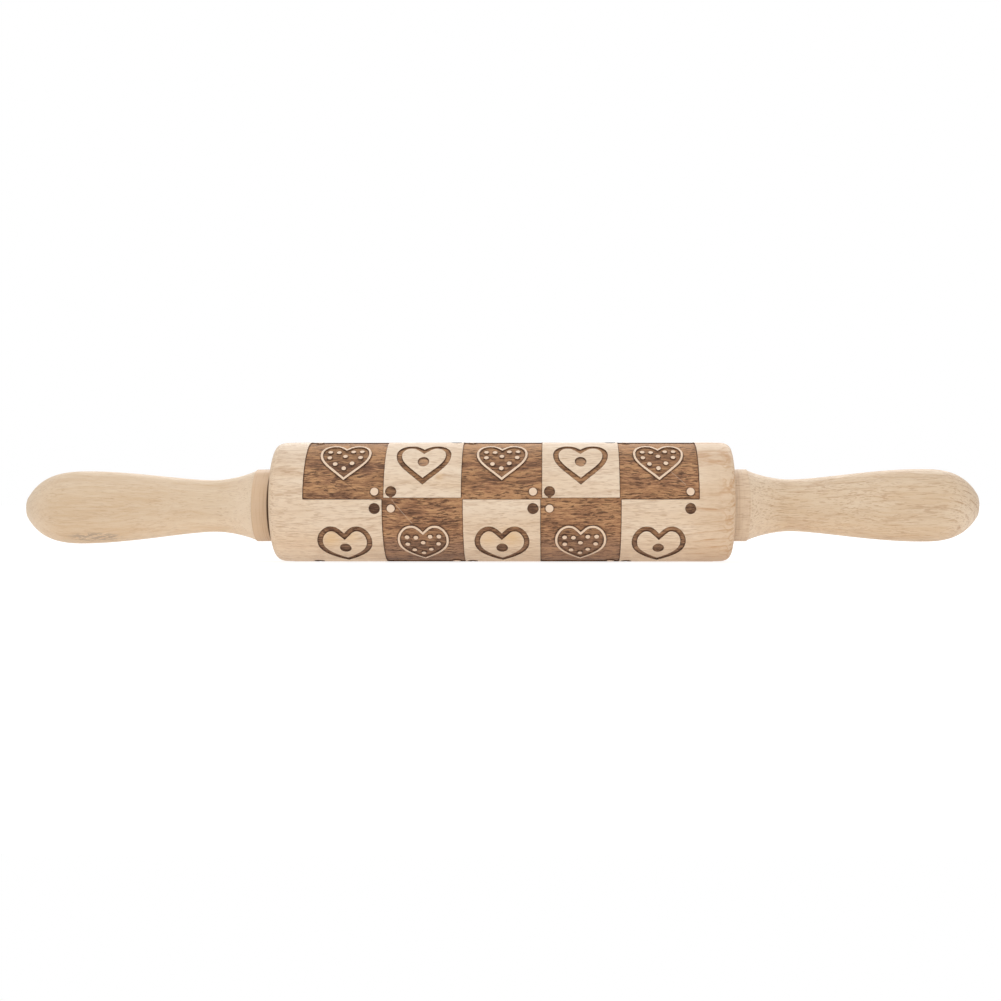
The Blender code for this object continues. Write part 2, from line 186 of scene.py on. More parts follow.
# Half of a heart: notch, top of the lobe, side and tip, as shares of its width and height. Each point is given
# as its arriving handle, itself and its leaving handle.
HEART_SHARES = (
    ((0.0, 0.855), (0.0, 0.855), (0.09, 0.955)),
    ((0.135, 1.0), (0.235, 1.0), (0.375, 1.0)),
    ((0.5, 0.850), (0.5, 0.667), (0.5, 0.395)),
    ((0.295, 0.270), (0.0, 0.0), (0.0, 0.0)),
)
HEART_STEPS = (7, 15, 11)
SMALL_DOT_SHARES = (
    (-0.314, 0.732), (-0.143, 0.723), (0.138, 0.746), (0.310, 0.751),
    (-0.310, 0.549), (-0.005, 0.592), (0.295, 0.559),
    (-0.186, 0.376), (0.143, 0.394),
    (-0.010, 0.268),
)

# How much of the burn and of the soot each kind of cut has, and how much more soot the lower rows' cuts have
HEART_BURN = (1.0, 0.34)
GROOVE_BURN = (1.0, 0.24)
PIT_BURN = (0.86, 0.0)
LOWER_PIT_BURN = (1.0, 0.75)
DOT_BURN = (1.0, 0.80)
LOWER_ROW_SOOT = 0.20

# Widths of the dark lines inside a raised heart and a groove, as shares of the line's usual width
EDGE_FADE = 0.6
INNER_FADE = 0.95
GROOVE_FADE = 0.9

# Thin traces that the burning head left in sunk squares: row, column, start and end in the square, and how much
# of the burn and of the soot they have
TRACES = (
    (1, 1, (0.0036, 0.0388), (0.0117, 0.0288), 0.74, 0.0),
    (0, 4, (0.0205, 0.0120), (0.0267, 0.0058), 0.76, 0.0),
    (0, 0, (0.0166, 0.0070), (0.0214, 0.0030), 1.0, 0.6),
)


def linear(red, green, blue):
    """Turn a colour of 0 to 255 sRGB values into the linear colour that a shader takes."""
    return tuple(((value / 255 + 0.055) / 1.055) ** 2.4 for value in (red, green, blue))


def length(name, description, default):
    """Describe one length of the pin for the sidebar."""
    return bpy.props.FloatProperty(name=name, description=description, default=default, unit="LENGTH", precision=5)


def colour(name, description, default):
    """Describe one colour of the pin for the sidebar."""
    return bpy.props.FloatVectorProperty(
        name=name, description=description, default=default, subtype="COLOR", size=3, min=0.0, max=1.0)


class EngravingSizes(bpy.types.PropertyGroup):
    """Sizes of the chequer that is cut into the roller."""

    column_pitch: length("Square width", "Width of one square of the chequer", 0.03175)
    pattern_rise: length("Rise", "How far the middle line of the chequer lies above the roller's front", 0.0014)
    depth: length("Depth", "Depth of the engraving", 0.0006)
    wall: length("Wall", "Width of the sloping wall between the face and the engraving's floor", 0.00014)
    over_burn: length("Over-burn", "How far a sunk square reaches past its neighbours' edges", 0.0004)
    over_end: length("Over-burn end", "Where the over-burn ends, before the far end of a square", 0.0030)
    last_column: length("Last column", "How much narrower the last square at the right is", 0.0006)
    corner_round: length("Corner", "Rounding of a sunk square's corners", 0.00045)
    fade: length("Soot fade", "Width of the dark line along the foot of a wall", 0.00055)
    raised_width: length("Raised heart width", "Width of the heart that stands in a sunk square", 0.0206)
    raised_height: length("Raised heart height", "Height of the heart that stands in a sunk square", 0.0203)
    raised_tip: length("Raised heart tip", "Height of its tip above the square's foot", 0.0077)
    raised_rim: length("Raised heart rim", "Width of the heart's standing rim", 0.00088)
    small_dot: length("Small dot", "Diameter of the dots that stand inside the heart", 0.0019)
    cut_width: length("Cut heart width", "Width of the heart that is cut into a plain square", 0.0222)
    cut_height: length("Cut heart height", "Height of the heart that is cut into a plain square", 0.0220)
    cut_tip: length("Cut heart tip", "Height of its tip above the square's foot", 0.0057)
    cut_groove: length("Cut heart groove", "Width of the heart's groove", 0.00222)
    pit: length("Pit", "Diameter of the round pit inside the cut heart", 0.0047)
    pit_rise: length("Pit rise", "Height of the pit above the square's foot", 0.01665)
    pit_oval: bpy.props.FloatProperty(name="Pit oval", description="Height of the pit for its width", default=1.12)
    corner_reach: length("Corner dot reach", "Distance of the corner dots from the squares' sides", 0.0033)
    corner_above: length("Corner dot rise", "Height of the lower corner dots above the square's foot", 0.00285)
    corner_below: length("Corner dot drop", "Distance of the upper corner dots below the square's head", 0.00405)
    raised_dot: length("Raised dot", "Diameter of the standing corner dots", 0.0032)
    cut_dot: length("Cut dot", "Diameter of the engraved corner dots", 0.0045)
    neck: length("Neck", "Width of the neck between an engraved dot and the square below", 0.0011)
    trace: length("Trace", "Width of the thin traces of the burning head", 0.00034)
    wobble: length("Wobble", "How far the burned edges wander", 0.00006)


class TurningSizes(bpy.types.PropertyGroup):
    """Sizes of the turned pieces."""

    taper_length: length("Taper length", "Length of the plain band that narrows towards each end", 0.007)
    taper_drop: length("Taper drop", "How much the radius drops along that band", 0.00015)
    round_length: length("Rounding length", "Length of the roller's rounded corner along the pin", 0.004)
    round_depth: length("Rounding depth", "Depth of the roller's rounded corner", 0.00235)
    collar_radius: length("Collar radius", "Radius of the handle's collar", 0.015)
    collar_length: length("Collar length", "Length of the handle's collar", 0.00675)
    collar_step: length("Collar step", "Small step behind the collar", 0.0003)
    neck_radius: length("Neck radius", "Radius of the handle's narrowest place", 0.0108)
    neck_place: length("Neck place", "Distance of the neck from the handle's face", 0.02505)
    swell_place: length("Swell place", "Distance of the handle's thickest place from its face", 0.07935)
    tip_radius: length("Tip radius", "Radius of the flat at the handle's tip", 0.0051)
    edge: length("Edge", "Rounding of the handle's small edges", 0.0004)
    droop: bpy.props.FloatProperty(
        name="Droop", description="How far the left handle sinks for its length", default=0.0112)
    bore_depth: length("Bore depth", "Depth of the handle's bore for the axle", 0.0553)
    seat: length("Seat", "Gap between fitted pieces", 0.0003)


class WoodColours(bpy.types.PropertyGroup):
    """Colours of the beech and of its burned parts."""

    pale: colour("Pale beech", "Palest wood of the roller", linear(232, 211, 186))
    warm: colour("Warm beech", "Warmer wood between the pale streaks", linear(221, 193, 162))
    fleck: colour("Fleck", "Short brown flecks of the wood's rays", linear(176, 136, 100))
    band: colour("Right band", "Warmer wood at the roller's right end", linear(205, 172, 137))
    loop: colour("Loops", "Ring lines where the roller's end cuts them at a slant", linear(192, 146, 104))
    honey: colour("Honey tint", "Orange tint in some hearts", linear(222, 184, 134))
    cream: colour("Cream", "Fresh wood of the thin standing rims and dots", linear(234, 205, 177))
    burned_left: colour("Burned left", "Burned wood at the roller's left end", linear(134, 93, 66))
    burned: colour("Burned", "Middle brown of the sunk squares", linear(155, 109, 76))
    # Charred also paints the shade in the gap between the roller's ends and the handles' collars
    char_and_gap_shade: colour("Char_and_gap_shade", "Darkest brown beside the walls and in the pores", linear(72, 45, 27))
    # Ochre grows stronger towards the top of the roller, as painted light from above
    ochre: colour("Ochre", "Yellower brown of some burned patches", linear(180, 133, 84))
    ashen: colour("Ashen", "Greyer burned wood low on the roller", linear(170, 138, 116))
    # Singed is also laid along the top of the sunk squares as a painted highlight from above
    singed_and_top_light: colour("Singed_and_top_light", "Lightest brown of the sunk squares", linear(194, 147, 103))
    handle_pale: colour("Handle pale", "Palest wood of the handles", linear(224, 203, 176))
    handle_warm: colour("Handle warm", "Warm patches of the handles", linear(205, 173, 136))
    collar: colour("Collar", "End wood of the handles' collars", linear(208, 177, 144))
    grime: colour("Grime", "Grey smudge of use", linear(128, 116, 108))


class MetalColours(bpy.types.PropertyGroup):
    """Colours of the axle, the washers and the bushes."""

    steel: colour("Steel", "Drawn bright rod", linear(186, 186, 190))
    zinc: colour("Zinc", "Plated washers", linear(190, 192, 196))
    nylon: colour("Nylon", "Natural nylon", linear(230, 227, 218))


def add_node(tree, kind, settings=None, inputs=None):
    """Add a node to a tree, set its options, give its sockets a value or a link, and return its outputs."""
    made = tree.nodes.new(kind)
    for name, value in (settings or {}).items():
        setattr(made, name, value)
    for name, value in (inputs or {}).items():
        if isinstance(value, bpy.types.NodeSocket):
            tree.links.new(value, made.inputs[name])
        else:
            made.inputs[name].default_value = value
    return made.outputs


def math_node(tree, operation, *values, clamp=False):
    """Add a maths node and return its result."""
    settings = {"operation": operation, "use_clamp": clamp}
    return add_node(tree, "ShaderNodeMath", settings, dict(enumerate(values)))[0]


def times(tree, first, second):
    """Multiply two values."""
    return math_node(tree, "MULTIPLY", first, second)


def times_plus(tree, value, factor, more):
    """Multiply a value and add to it."""
    return math_node(tree, "MULTIPLY_ADD", value, factor, more)


def vector_node(tree, operation, *values):
    """Add a vector maths node, and return its vector, or its value where it measures a length."""
    outputs = add_node(tree, "ShaderNodeVectorMath", {"operation": operation}, dict(enumerate(values)))
    return outputs["Value" if operation in {"LENGTH", "DISTANCE"} else 0]


def split_vector(tree, vector):
    """Split coordinates into the three of them."""
    return add_node(tree, "ShaderNodeSeparateXYZ", None, {0: vector})


def noise_outputs(tree, vector, along, across, offset=0.0, detail=2.0, roughness=0.5):
    """Add a noise of so many turns a metre along the pin and so many across it."""
    inputs = {"Vector": vector, "Scale": (along, across, across), "Location": (offset, offset, offset)}
    place = add_node(tree, "ShaderNodeMapping", {"vector_type": "POINT"}, inputs)[0]
    inputs = {"Vector": place, "Scale": 1.0, "Detail": detail, "Roughness": roughness}
    return add_node(tree, "ShaderNodeTexNoise", None, inputs)


def noise_node(tree, vector, along, across, offset=0.0, detail=2.0, roughness=0.5):
    """Add such a noise, and return its value."""
    return noise_outputs(tree, vector, along, across, offset, detail, roughness)[0]


def drifting(tree, place, along, across, detail, reach):
    """Let coordinates wander across the pin, as the wood's fibres do on their way along it."""
    wander = noise_outputs(tree, place, along, across, detail=detail)["Color"]
    return vector_node(tree, "MULTIPLY_ADD", wander, (0.0, reach, reach), place)


def range_node(tree, value, low, high, to_low=0.0, to_high=1.0, smooth=True):
    """Map a value from one range to another, and hold it at the ends."""
    settings = {"interpolation_type": "SMOOTHSTEP" if smooth else "LINEAR", "clamp": True}
    inputs = {"Value": value, "From Min": low, "From Max": high, "To Min": to_low, "To Max": to_high}
    return add_node(tree, "ShaderNodeMapRange", settings, inputs)[0]


def full_colour(value):
    """Give a plain colour its alpha, and leave a socket as it is."""
    return value if isinstance(value, bpy.types.NodeSocket) else tuple(value) + (1.0,)


def mix_colour(tree, share, first, second):
    """Mix two colours."""
    inputs = {0: share, 6: full_colour(first), 7: full_colour(second)}
    return add_node(tree, "ShaderNodeMix", {"data_type": "RGBA"}, inputs)[2]


def tint(tree, under, over, mask, share):
    """Lay a colour over another by a mask, at a share of its strength."""
    return mix_colour(tree, times(tree, mask, share), under, over)


def new_group(name, values=None, colours=()):
    """Make a shader node group that takes coordinates, values with a default, and colours."""
    group = bpy.data.node_groups.new(name, "ShaderNodeTree")
    group.interface.new_socket("Vector", in_out="INPUT", socket_type="NodeSocketVector")
    for label, default in (values or {}).items():
        group.interface.new_socket(label, in_out="INPUT", socket_type="NodeSocketFloat").default_value = default
    for label in colours:
        group.interface.new_socket(label, in_out="INPUT", socket_type="NodeSocketColor")
    return group, group.nodes.new("NodeGroupInput").outputs


def give_results(group, **results):
    """Make a node group's outputs and link them. The one named Color is a colour."""
    for label in results:
        kind = "NodeSocketColor" if label == "Color" else "NodeSocketFloat"
        group.interface.new_socket(label, in_out="OUTPUT", socket_type=kind)
    add_node(group, "NodeGroupOutput", None, results)
    return group


def grain_group():
    """Grain of turned beech: broad tone, streaks along the pin, short ray flecks, year rings and relief."""
    group, given = new_group("Beech Grain", {"Seed": 0.0, "Ring Spacing": 0.0030, "Fleck Density": 0.5})
    shift = add_node(group, "ShaderNodeCombineXYZ", None, {0: given["Seed"], 1: given["Seed"], 2: given["Seed"]})
    place = vector_node(group, "ADD", given["Vector"], shift[0])
    drift = drifting(group, place, 28.0, 60.0, 1.0, 0.0030)

    tone = range_node(group, noise_node(group, drift, 14.0, 95.0, 0.0, 3.0, 0.55), 0.32, 0.68)
    broad = noise_node(group, drift, 70.0, 900.0, 0.0, 3.0, 0.6)
    fine = noise_node(group, drift, 160.0, 2600.0, 0.0, 3.0, 0.6)
    streaks = math_node(group, "ADD", times(group, broad, 0.6), times(group, fine, 0.4))
    streaks = range_node(group, streaks, 0.36, 0.64)

    # Flecks are the peaks of a stretched noise, and come in loose flocks
    flock = math_node(group, "SUBTRACT", noise_node(group, drift, 60.0, 260.0, 3.7), 0.5)
    peaks = noise_node(group, drift, 280.0, 3000.0, 9.1, 1.0, 0.4)
    level = times_plus(group, given["Fleck Density"], -0.16, 0.735)
    level = times_plus(group, flock, -0.22, level)
    flecks = range_node(group, math_node(group, "SUBTRACT", peaks, level), 0.0, 0.075)
    dashes = times_plus(group, flock, 0.30, noise_node(group, drift, 170.0, 2500.0, 6.3))
    dashes = range_node(group, dashes, 0.57, 0.63)

    # Year rings stand round a pith that lies far behind the pin and not quite in line with it
    parts = split_vector(group, drift)
    back = times_plus(group, parts[0], 0.035, math_node(group, "SUBTRACT", parts[1], 0.052))
    up = times_plus(group, parts[0], -0.022, math_node(group, "ADD", parts[2], 0.018))
    distance = math_node(group, "SQRT", times_plus(group, back, back, times(group, up, up)))
    wave = noise_node(group, place, 17.0, 44.0, 1.3)
    years = times_plus(group, wave, 1.7, math_node(group, "DIVIDE", distance, given["Ring Spacing"]))
    phase = math_node(group, "FRACT", years)
    line = times(group, range_node(group, phase, 0.66, 0.92), range_node(group, phase, 1.0, 0.93))
    broken = range_node(group, noise_node(group, place, 90.0, 420.0, 5.9, 3.0, 0.65), 0.38, 0.62)

    # Where a turned face cuts the rings at a slant, they show as loops: contour lines of a smooth noise
    field = noise_node(group, place, 150.0, 190.0, 7.7, 2.0, 0.45)
    level = math_node(group, "FRACT", times(group, field, 6.0))
    loops = times(group, range_node(group, level, 0.26, 0.48), range_node(group, level, 0.74, 0.52))

    height = times_plus(group, flecks, -0.6, times(group, fine, 0.9))
    return give_results(
        group, Tone=tone, Streaks=streaks, Flecks=flecks, Dashes=dashes, Rings=times(group, line, broken),
        Loops=loops, Height=height)


def burn_group():
    """Colour and relief of burned beech: soft wood burns deep and dark between harder, paler fibres, with painted
    light from above.
    """
    group, given = new_group(
        "Burned Beech", {"Soot": 0.0}, ("Burned", "Char_and_gap_shade", "Singed_and_top_light", "Ochre", "Ashen"))
    place = given["Vector"]
    drift = drifting(group, place, 55.0, 110.0, 2.0, 0.0042)
    bands = noise_node(group, drift, 18.0, 210.0, 2.1, 3.0, 0.6)
    fibres = noise_node(group, drift, 170.0, 1150.0, 4.2, 5.0, 0.72)
    pores = noise_node(group, drift, 270.0, 2000.0, 6.4, 3.0, 0.6)
    patches = noise_node(group, place, 120.0, 170.0, 8.6)
    depth = math_node(group, "ADD", times(group, bands, 0.35), times(group, fibres, 0.65))
    brown = mix_colour(group, range_node(group, depth, 0.45, 0.60), given["Burned"], given["Singed_and_top_light"])
    brown = mix_colour(group, range_node(group, depth, 0.50, 0.38, 0.0, 0.72), brown, given["Char_and_gap_shade"])

    # Painted light from above: the squares are yellower towards the top and palest along it. They are greyer low
    # down
    up = split_vector(group, place)[2]
    ochre = range_node(group, noise_node(group, place, 40.0, 90.0, 5.5), 0.40, 0.66, 0.0, 0.50)
    yellow = mix_colour(group, 0.72, given["Burned"], given["Ochre"])
    brown = tint(group, brown, yellow, ochre, range_node(group, up, 0.015, 0.042, 0.15, 1.0))
    brown = mix_colour(group, range_node(group, up, 0.0395, 0.0480, 0.0, 0.62), brown, given["Singed_and_top_light"])
    brown = mix_colour(group, range_node(group, up, 0.0150, 0.0040, 0.0, 0.40), brown, given["Ashen"])

    level = times_plus(group, math_node(group, "SUBTRACT", patches, 0.5), -0.28, 0.535)
    pits = range_node(group, math_node(group, "SUBTRACT", pores, level), 0.0, 0.075)
    brown = tint(group, brown, given["Char_and_gap_shade"], pits, 0.82)
    soot = times(group, given["Soot"], range_node(group, fibres, 0.35, 0.62, 1.0, 0.65))
    brown = tint(group, brown, given["Char_and_gap_shade"], soot, 0.90)
    return give_results(group, Color=brown, Height=times_plus(group, pits, -0.9, times(group, fibres, 2.4)))


def lathe_group():
    """Fine rings that a turning tool leaves round the pin's axis."""
    group, given = new_group("Turning Marks", {"Pitch": 0.0006})
    turns = math_node(group, "DIVIDE", split_vector(group, given["Vector"])[0], given["Pitch"])
    line = add_node(group, "ShaderNodeCombineXYZ", None, {0: turns, 1: 0.0, 2: 0.0})[0]
    around = vector_node(group, "MULTIPLY", given["Vector"], (0.0, 45.0, 45.0))
    line = vector_node(group, "ADD", line, around)
    return give_results(group, Marks=noise_node(group, line, 1.0, 1.0, 0.0, 3.0, 0.6))


def new_material(name):
    """Make an empty material, and return its tree, its shader and the object coordinates."""
    material = bpy.data.materials.new(name)
    material.use_nodes = True
    tree = material.node_tree
    return material, tree, tree.nodes["Principled BSDF"], add_node(tree, "ShaderNodeTexCoord")["Object"]


def use_group(tree, name, maker, inputs):
    """Place a node group in a material, building the group the first time, and return its outputs."""
    group = bpy.data.node_groups.get(name) or maker()
    return add_node(tree, "ShaderNodeGroup", {"node_tree": group}, inputs)


def bump(tree, shader, height, distance):
    """Give a shader relief from a height of 0 to 1."""
    relief = add_node(tree, "ShaderNodeBump", None, {"Height": height, "Distance": distance, "Strength": 1.0})
    tree.links.new(relief[0], shader.inputs["Normal"])


def roller_material(wood):
    """Sanded beech with burned parts, in one material that follows the roller's burn and soot."""
    low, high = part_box("roller")
    centre, side = (low.x + high.x) / 2, (high.x - low.x) / 2
    material, tree, shader, place = new_material("engraved_beech")
    burn, soot, fresh = (
        add_node(tree, "ShaderNodeAttribute", {"attribute_name": name})["Fac"] for name in ("burn", "soot", "fresh"))
    inputs = {"Vector": place, "Seed": 0.0, "Ring Spacing": 0.0034, "Fleck Density": 1.0}
    beech = use_group(tree, "Beech Grain", grain_group, inputs)
    turned = use_group(tree, "Turning Marks", lathe_group, {"Vector": place, "Pitch": 0.0007})
    along = split_vector(tree, place)[0]

    # Plain wood
    tone = times_plus(tree, beech["Streaks"], 0.35, times(tree, beech["Tone"], 0.55))
    plain = mix_colour(tree, tone, wood.pale, wood.warm)
    for marks, share in (("Rings", 0.30), ("Dashes", 0.30), ("Flecks", 0.40)):
        plain = tint(tree, plain, wood.fleck, beech[marks], share)
    right = centre + side
    right_end = range_node(tree, along, right - 0.0080, right - 0.0025, 0.0, 0.95)
    plain = tint(tree, plain, wood.loop, beech["Loops"], right_end)
    right_band = range_node(tree, along, right - 0.022, right - 0.010, 0.0, 0.55)
    plain = mix_colour(tree, right_band, plain, mix_colour(tree, tone, wood.warm, wood.band))
    plain = tint(tree, plain, wood.loop, beech["Rings"], times(tree, right_band, 1.5))
    stain = 0.0
    for spot, reach, strength in HONEY_SPOTS:
        away = vector_node(tree, "DISTANCE", place, spot)
        stain = math_node(tree, "MAXIMUM", stain, range_node(tree, away, reach, 0.0, 0.0, strength))
    uneven = range_node(tree, beech["Streaks"], 0.0, 1.0, 0.65, 1.0)
    plain = tint(tree, plain, wood.honey, stain, uneven)
    plain = tint(tree, plain, wood.cream, fresh, 0.85)

    # End wood on the end faces, and painted shade on them round the handles' collars, where the gap between roller
    # and handle lies in shade
    from_end = math_node(tree, "ABSOLUTE", math_node(tree, "SUBTRACT", along, centre))
    end_face = range_node(tree, from_end, side - 0.0007, side - 0.0001)
    plain = tint(tree, plain, wood.collar, end_face, 0.75)
    from_axis = vector_node(tree, "SUBTRACT", place, (centre, *node_axis("left_handle")[:2]))
    from_axis = vector_node(tree, "LENGTH", vector_node(tree, "MULTIPLY", from_axis, (0.0, 1.0, 1.0)))
    # Painted shade: the end face turns char brown next to the collar
    gap_shade = range_node(tree, from_axis, JOINT_SHADE_REACH, JOINT_SHADE_REACH - 0.0022, 0.0, 0.80)
    plain = tint(tree, plain, wood.char_and_gap_shade, end_face, gap_shade)

    # Burned wood, which is darker at the roller's left end
    burned = mix_colour(tree, range_node(tree, along, -0.058, -0.030), wood.burned_left, wood.burned)
    inputs = {"Vector": place, "Soot": soot, "Burned": burned}
    for name in ("char_and_gap_shade", "singed_and_top_light", "ochre", "ashen"):
        inputs[name.capitalize()] = full_colour(getattr(wood, name))
    char = use_group(tree, "Burned Beech", burn_group, inputs)
    tree.links.new(mix_colour(tree, burn, plain, char["Color"]), shader.inputs["Base Color"])
    tree.links.new(range_node(tree, burn, 0.0, 1.0, 0.52, 0.78), shader.inputs["Roughness"])
    relief = times_plus(tree, turned["Marks"], 0.25, beech["Height"])
    inputs = {0: burn, 2: relief, 3: char["Height"]}
    bump(tree, shader, add_node(tree, "ShaderNodeMix", {"data_type": "FLOAT"}, inputs)[0], 0.00006)
    return material


def handle_material(side, wood, turning):
    """Sanded beech of a handle, with a darker collar whose end wood shows the turning tool's lines, and painted
    shade at its face edge.
    """
    share = HANDLE_WOOD[side]
    material, tree, shader, place = new_material(side + "_handle_beech")
    inputs = {"Vector": place, "Seed": share["seed"], "Ring Spacing": 0.0026, "Fleck Density": share["density"]}
    beech = use_group(tree, "Beech Grain", grain_group, inputs)
    turned = use_group(tree, "Turning Marks", lathe_group, {"Vector": place, "Pitch": 0.0005})
    along = math_node(tree, "ABSOLUTE", split_vector(tree, place)[0])
    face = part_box("right_handle")[0].x
    collar_end = face + turning.collar_length

    tone = times_plus(tree, beech["Streaks"], 0.32, times(tree, beech["Tone"], 0.38))
    skin = mix_colour(tree, math_node(tree, "ADD", tone, 0.15), wood.handle_pale, wood.handle_warm)
    near_neck = range_node(tree, along, collar_end + 0.016, collar_end + 0.002, 0.0, 0.55)
    near_tip = range_node(tree, along, TIP_START, TIP_START + 0.015, 0.0, 0.45)
    skin = mix_colour(tree, math_node(tree, "MAXIMUM", near_neck, near_tip), skin, wood.pale)
    rings = share["rings"]
    at_tip = range_node(tree, along, TIP_START, TIP_START + 0.012, rings, min(rings * 2.6, 0.8))
    for marks, strength in (("Rings", at_tip), ("Dashes", share["dashes"]), ("Flecks", 0.40)):
        skin = tint(tree, skin, wood.fleck, beech[marks], strength)
    collar = range_node(tree, along, collar_end + 0.0001, collar_end - 0.0001)
    skin = tint(tree, skin, wood.collar, collar, share["collar"])
    skin = tint(tree, skin, wood.fleck, collar, range_node(tree, turned["Marks"], 0.52, 0.66, 0.0, 0.30))
    for spot, stretch, reach, dirt in STAINS:
        away = vector_node(tree, "DIVIDE", vector_node(tree, "SUBTRACT", place, spot), stretch)
        away = range_node(tree, vector_node(tree, "LENGTH", away), 1.0, 0.5)
        ragged = noise_node(tree, place, 330.0, 900.0, spot[0], 3.0, 0.6)
        skin = tint(tree, skin, wood.grime, away, range_node(tree, ragged, reach, reach + 0.10, 0.0, dirt))
    # Painted shade: the handle's face edge turns char brown, where the gap to the roller lies in shade
    gap_shade = range_node(tree, along, face + 0.0005, face + 0.0002, 0.0, 0.8)
    tree.links.new(mix_colour(tree, gap_shade, skin, wood.char_and_gap_shade), shader.inputs["Base Color"])
    tree.links.new(range_node(tree, beech["Streaks"], 0.0, 1.0, 0.46, 0.60), shader.inputs["Roughness"])
    bump(tree, shader, times_plus(tree, turned["Marks"], 0.8, beech["Height"]), 0.00005)
    return material


def metal_material(name, metal, pitch, roughness):
    """Turned or plated metal, with fine rings round its axis."""
    material, tree, shader, place = new_material(name)
    marks = use_group(tree, "Turning Marks", lathe_group, {"Vector": place, "Pitch": pitch})["Marks"]
    shade = mix_colour(tree, range_node(tree, marks, 0.3, 0.7), [value * 0.78 for value in metal], metal)
    tree.links.new(shade, shader.inputs["Base Color"])
    shader.inputs["Metallic"].default_value = 1.0
    smear = noise_node(tree, place, 160.0, 160.0, 0.0, 3.0)
    smear = range_node(tree, smear, 0.3, 0.7, roughness - 0.06, roughness + 0.10)
    tree.links.new(smear, shader.inputs["Roughness"])
    bump(tree, shader, marks, 0.00002)
    return material


def nylon_material(nylon):
    """Natural nylon, slightly clouded."""
    material, tree, shader, place = new_material("bush_nylon")
    clouds = noise_node(tree, place, 220.0, 220.0, 0.0, 4.0)
    shade = mix_colour(tree, range_node(tree, clouds, 0.3, 0.7), [value * 0.93 for value in nylon], nylon)
    tree.links.new(shade, shader.inputs["Base Color"])
    tree.links.new(range_node(tree, clouds, 0.3, 0.7, 0.36, 0.48), shader.inputs["Roughness"])
    bump(tree, shader, clouds, 0.00002)
    return material


def deselect():
    """Leave nothing selected, and be in object mode."""
    if bpy.context.object is not None and bpy.context.object.mode != "OBJECT":
        bpy.ops.object.mode_set(mode="OBJECT")
    bpy.ops.object.select_all(action="DESELECT")


def node_axis(node):
    """Height and depth of a round node's axis, and its radius."""
    low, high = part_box(node)
    return (low.y + high.y) / 2, (low.z + high.z) / 2, (high.z - low.z) / 2


def turn_ring(axis, place, step, scale, sunk=0.0, sinking=0.0):
    """Extrude the selected ring along the pin, lower it, and scale it about its middle."""
    bpy.ops.mesh.extrude_region_move(TRANSFORM_OT_translate={"value": (step, 0.0, -sinking)})
    if abs(scale - 1.0) > TINY:
        bpy.ops.transform.resize(value=(1.0, scale, scale), center_override=(place, axis[0], axis[1] - sunk))


def turn_piece(name, axis, profile, sides, closed=False, sunk=None):
    """Turn a piece from rings of (place along the pin, radius), each sunk by so much below the axis.

    A closed profile runs round a bore.
    """
    deselect()
    place, radius = profile[0]
    sunk = list(sunk or [0.0] * len(profile)) + [0.0]
    bpy.ops.mesh.primitive_circle_add(
        vertices=sides, radius=radius, fill_type="NOTHING" if closed else "NGON",
        location=(place, axis[0], axis[1] - sunk[0]), rotation=(0.0, math.pi / 2, 0.0))
    piece = bpy.context.object
    piece.name = name
    piece.data.name = name
    bpy.ops.object.transform_apply(location=True, rotation=True, scale=True)
    bpy.ops.object.mode_set(mode="EDIT")
    bpy.ops.mesh.select_all(action="SELECT")
    rings = profile + [profile[0]] if closed else profile
    for index, ((last_place, last_radius), (place, radius)) in enumerate(zip(rings, rings[1:])):
        low = sunk[index + 1]
        turn_ring(axis, place, place - last_place, radius / last_radius, low, low - sunk[index])
    bpy.ops.mesh.select_all(action="SELECT")
    bpy.ops.mesh.remove_doubles(threshold=WELD)
    bpy.ops.mesh.normals_make_consistent(inside=False)
    bpy.ops.object.mode_set(mode="OBJECT")
    bpy.ops.object.shade_smooth_by_angle(angle=SMOOTH_ANGLE)
    return piece


def finish_piece(piece, material, body, node):
    """Give a piece its material, its body and the frame's node that it stands for."""
    piece.data.materials.clear()
    piece.data.materials.append(material)
    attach(piece, body)
    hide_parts(node)


def circle(centre, radius, sides, rise=1.0):
    """Outline of a round dot, or of a taller oval one."""
    angles = [math.tau * (side + 0.5) / sides for side in range(sides)]
    return [(centre[0] + radius * math.cos(angle), centre[1] + radius * rise * math.sin(angle)) for angle in angles]


def heart(tip, width, height):
    """Outline of a heart that stands on its tip, with its lobes up."""
    half = []
    for start, end, steps in zip(HEART_SHARES, HEART_SHARES[1:], HEART_STEPS):
        shares = (start[1], start[2], end[0], end[1])
        knots = [Vector((across * width, up * height, 0.0)) for across, up in shares]
        half += interpolate_bezier(*knots, steps + 1)[:-1]
    right = [(tip[0] + point.x, tip[1] + point.y) for point in half]
    left = [(tip[0] - point.x, tip[1] + point.y) for point in half[1:]]
    return right + [tip] + left[::-1]


def inset(outline, distance):
    """Move each side of a clockwise outline inwards, and let neighbouring sides meet again."""
    points = [Vector(point) for point in outline]
    shifted = []
    for index, point in enumerate(points):
        arriving = (point - points[index - 1]).normalized()
        leaving = (points[(index + 1) % len(points)] - point).normalized()
        inward = Vector((arriving.y + leaving.y, -arriving.x - leaving.x)).normalized()
        reach = distance / inward.dot(Vector((leaving.y, -leaving.x)))
        shifted.append(tuple(point + inward * reach))
    return shifted


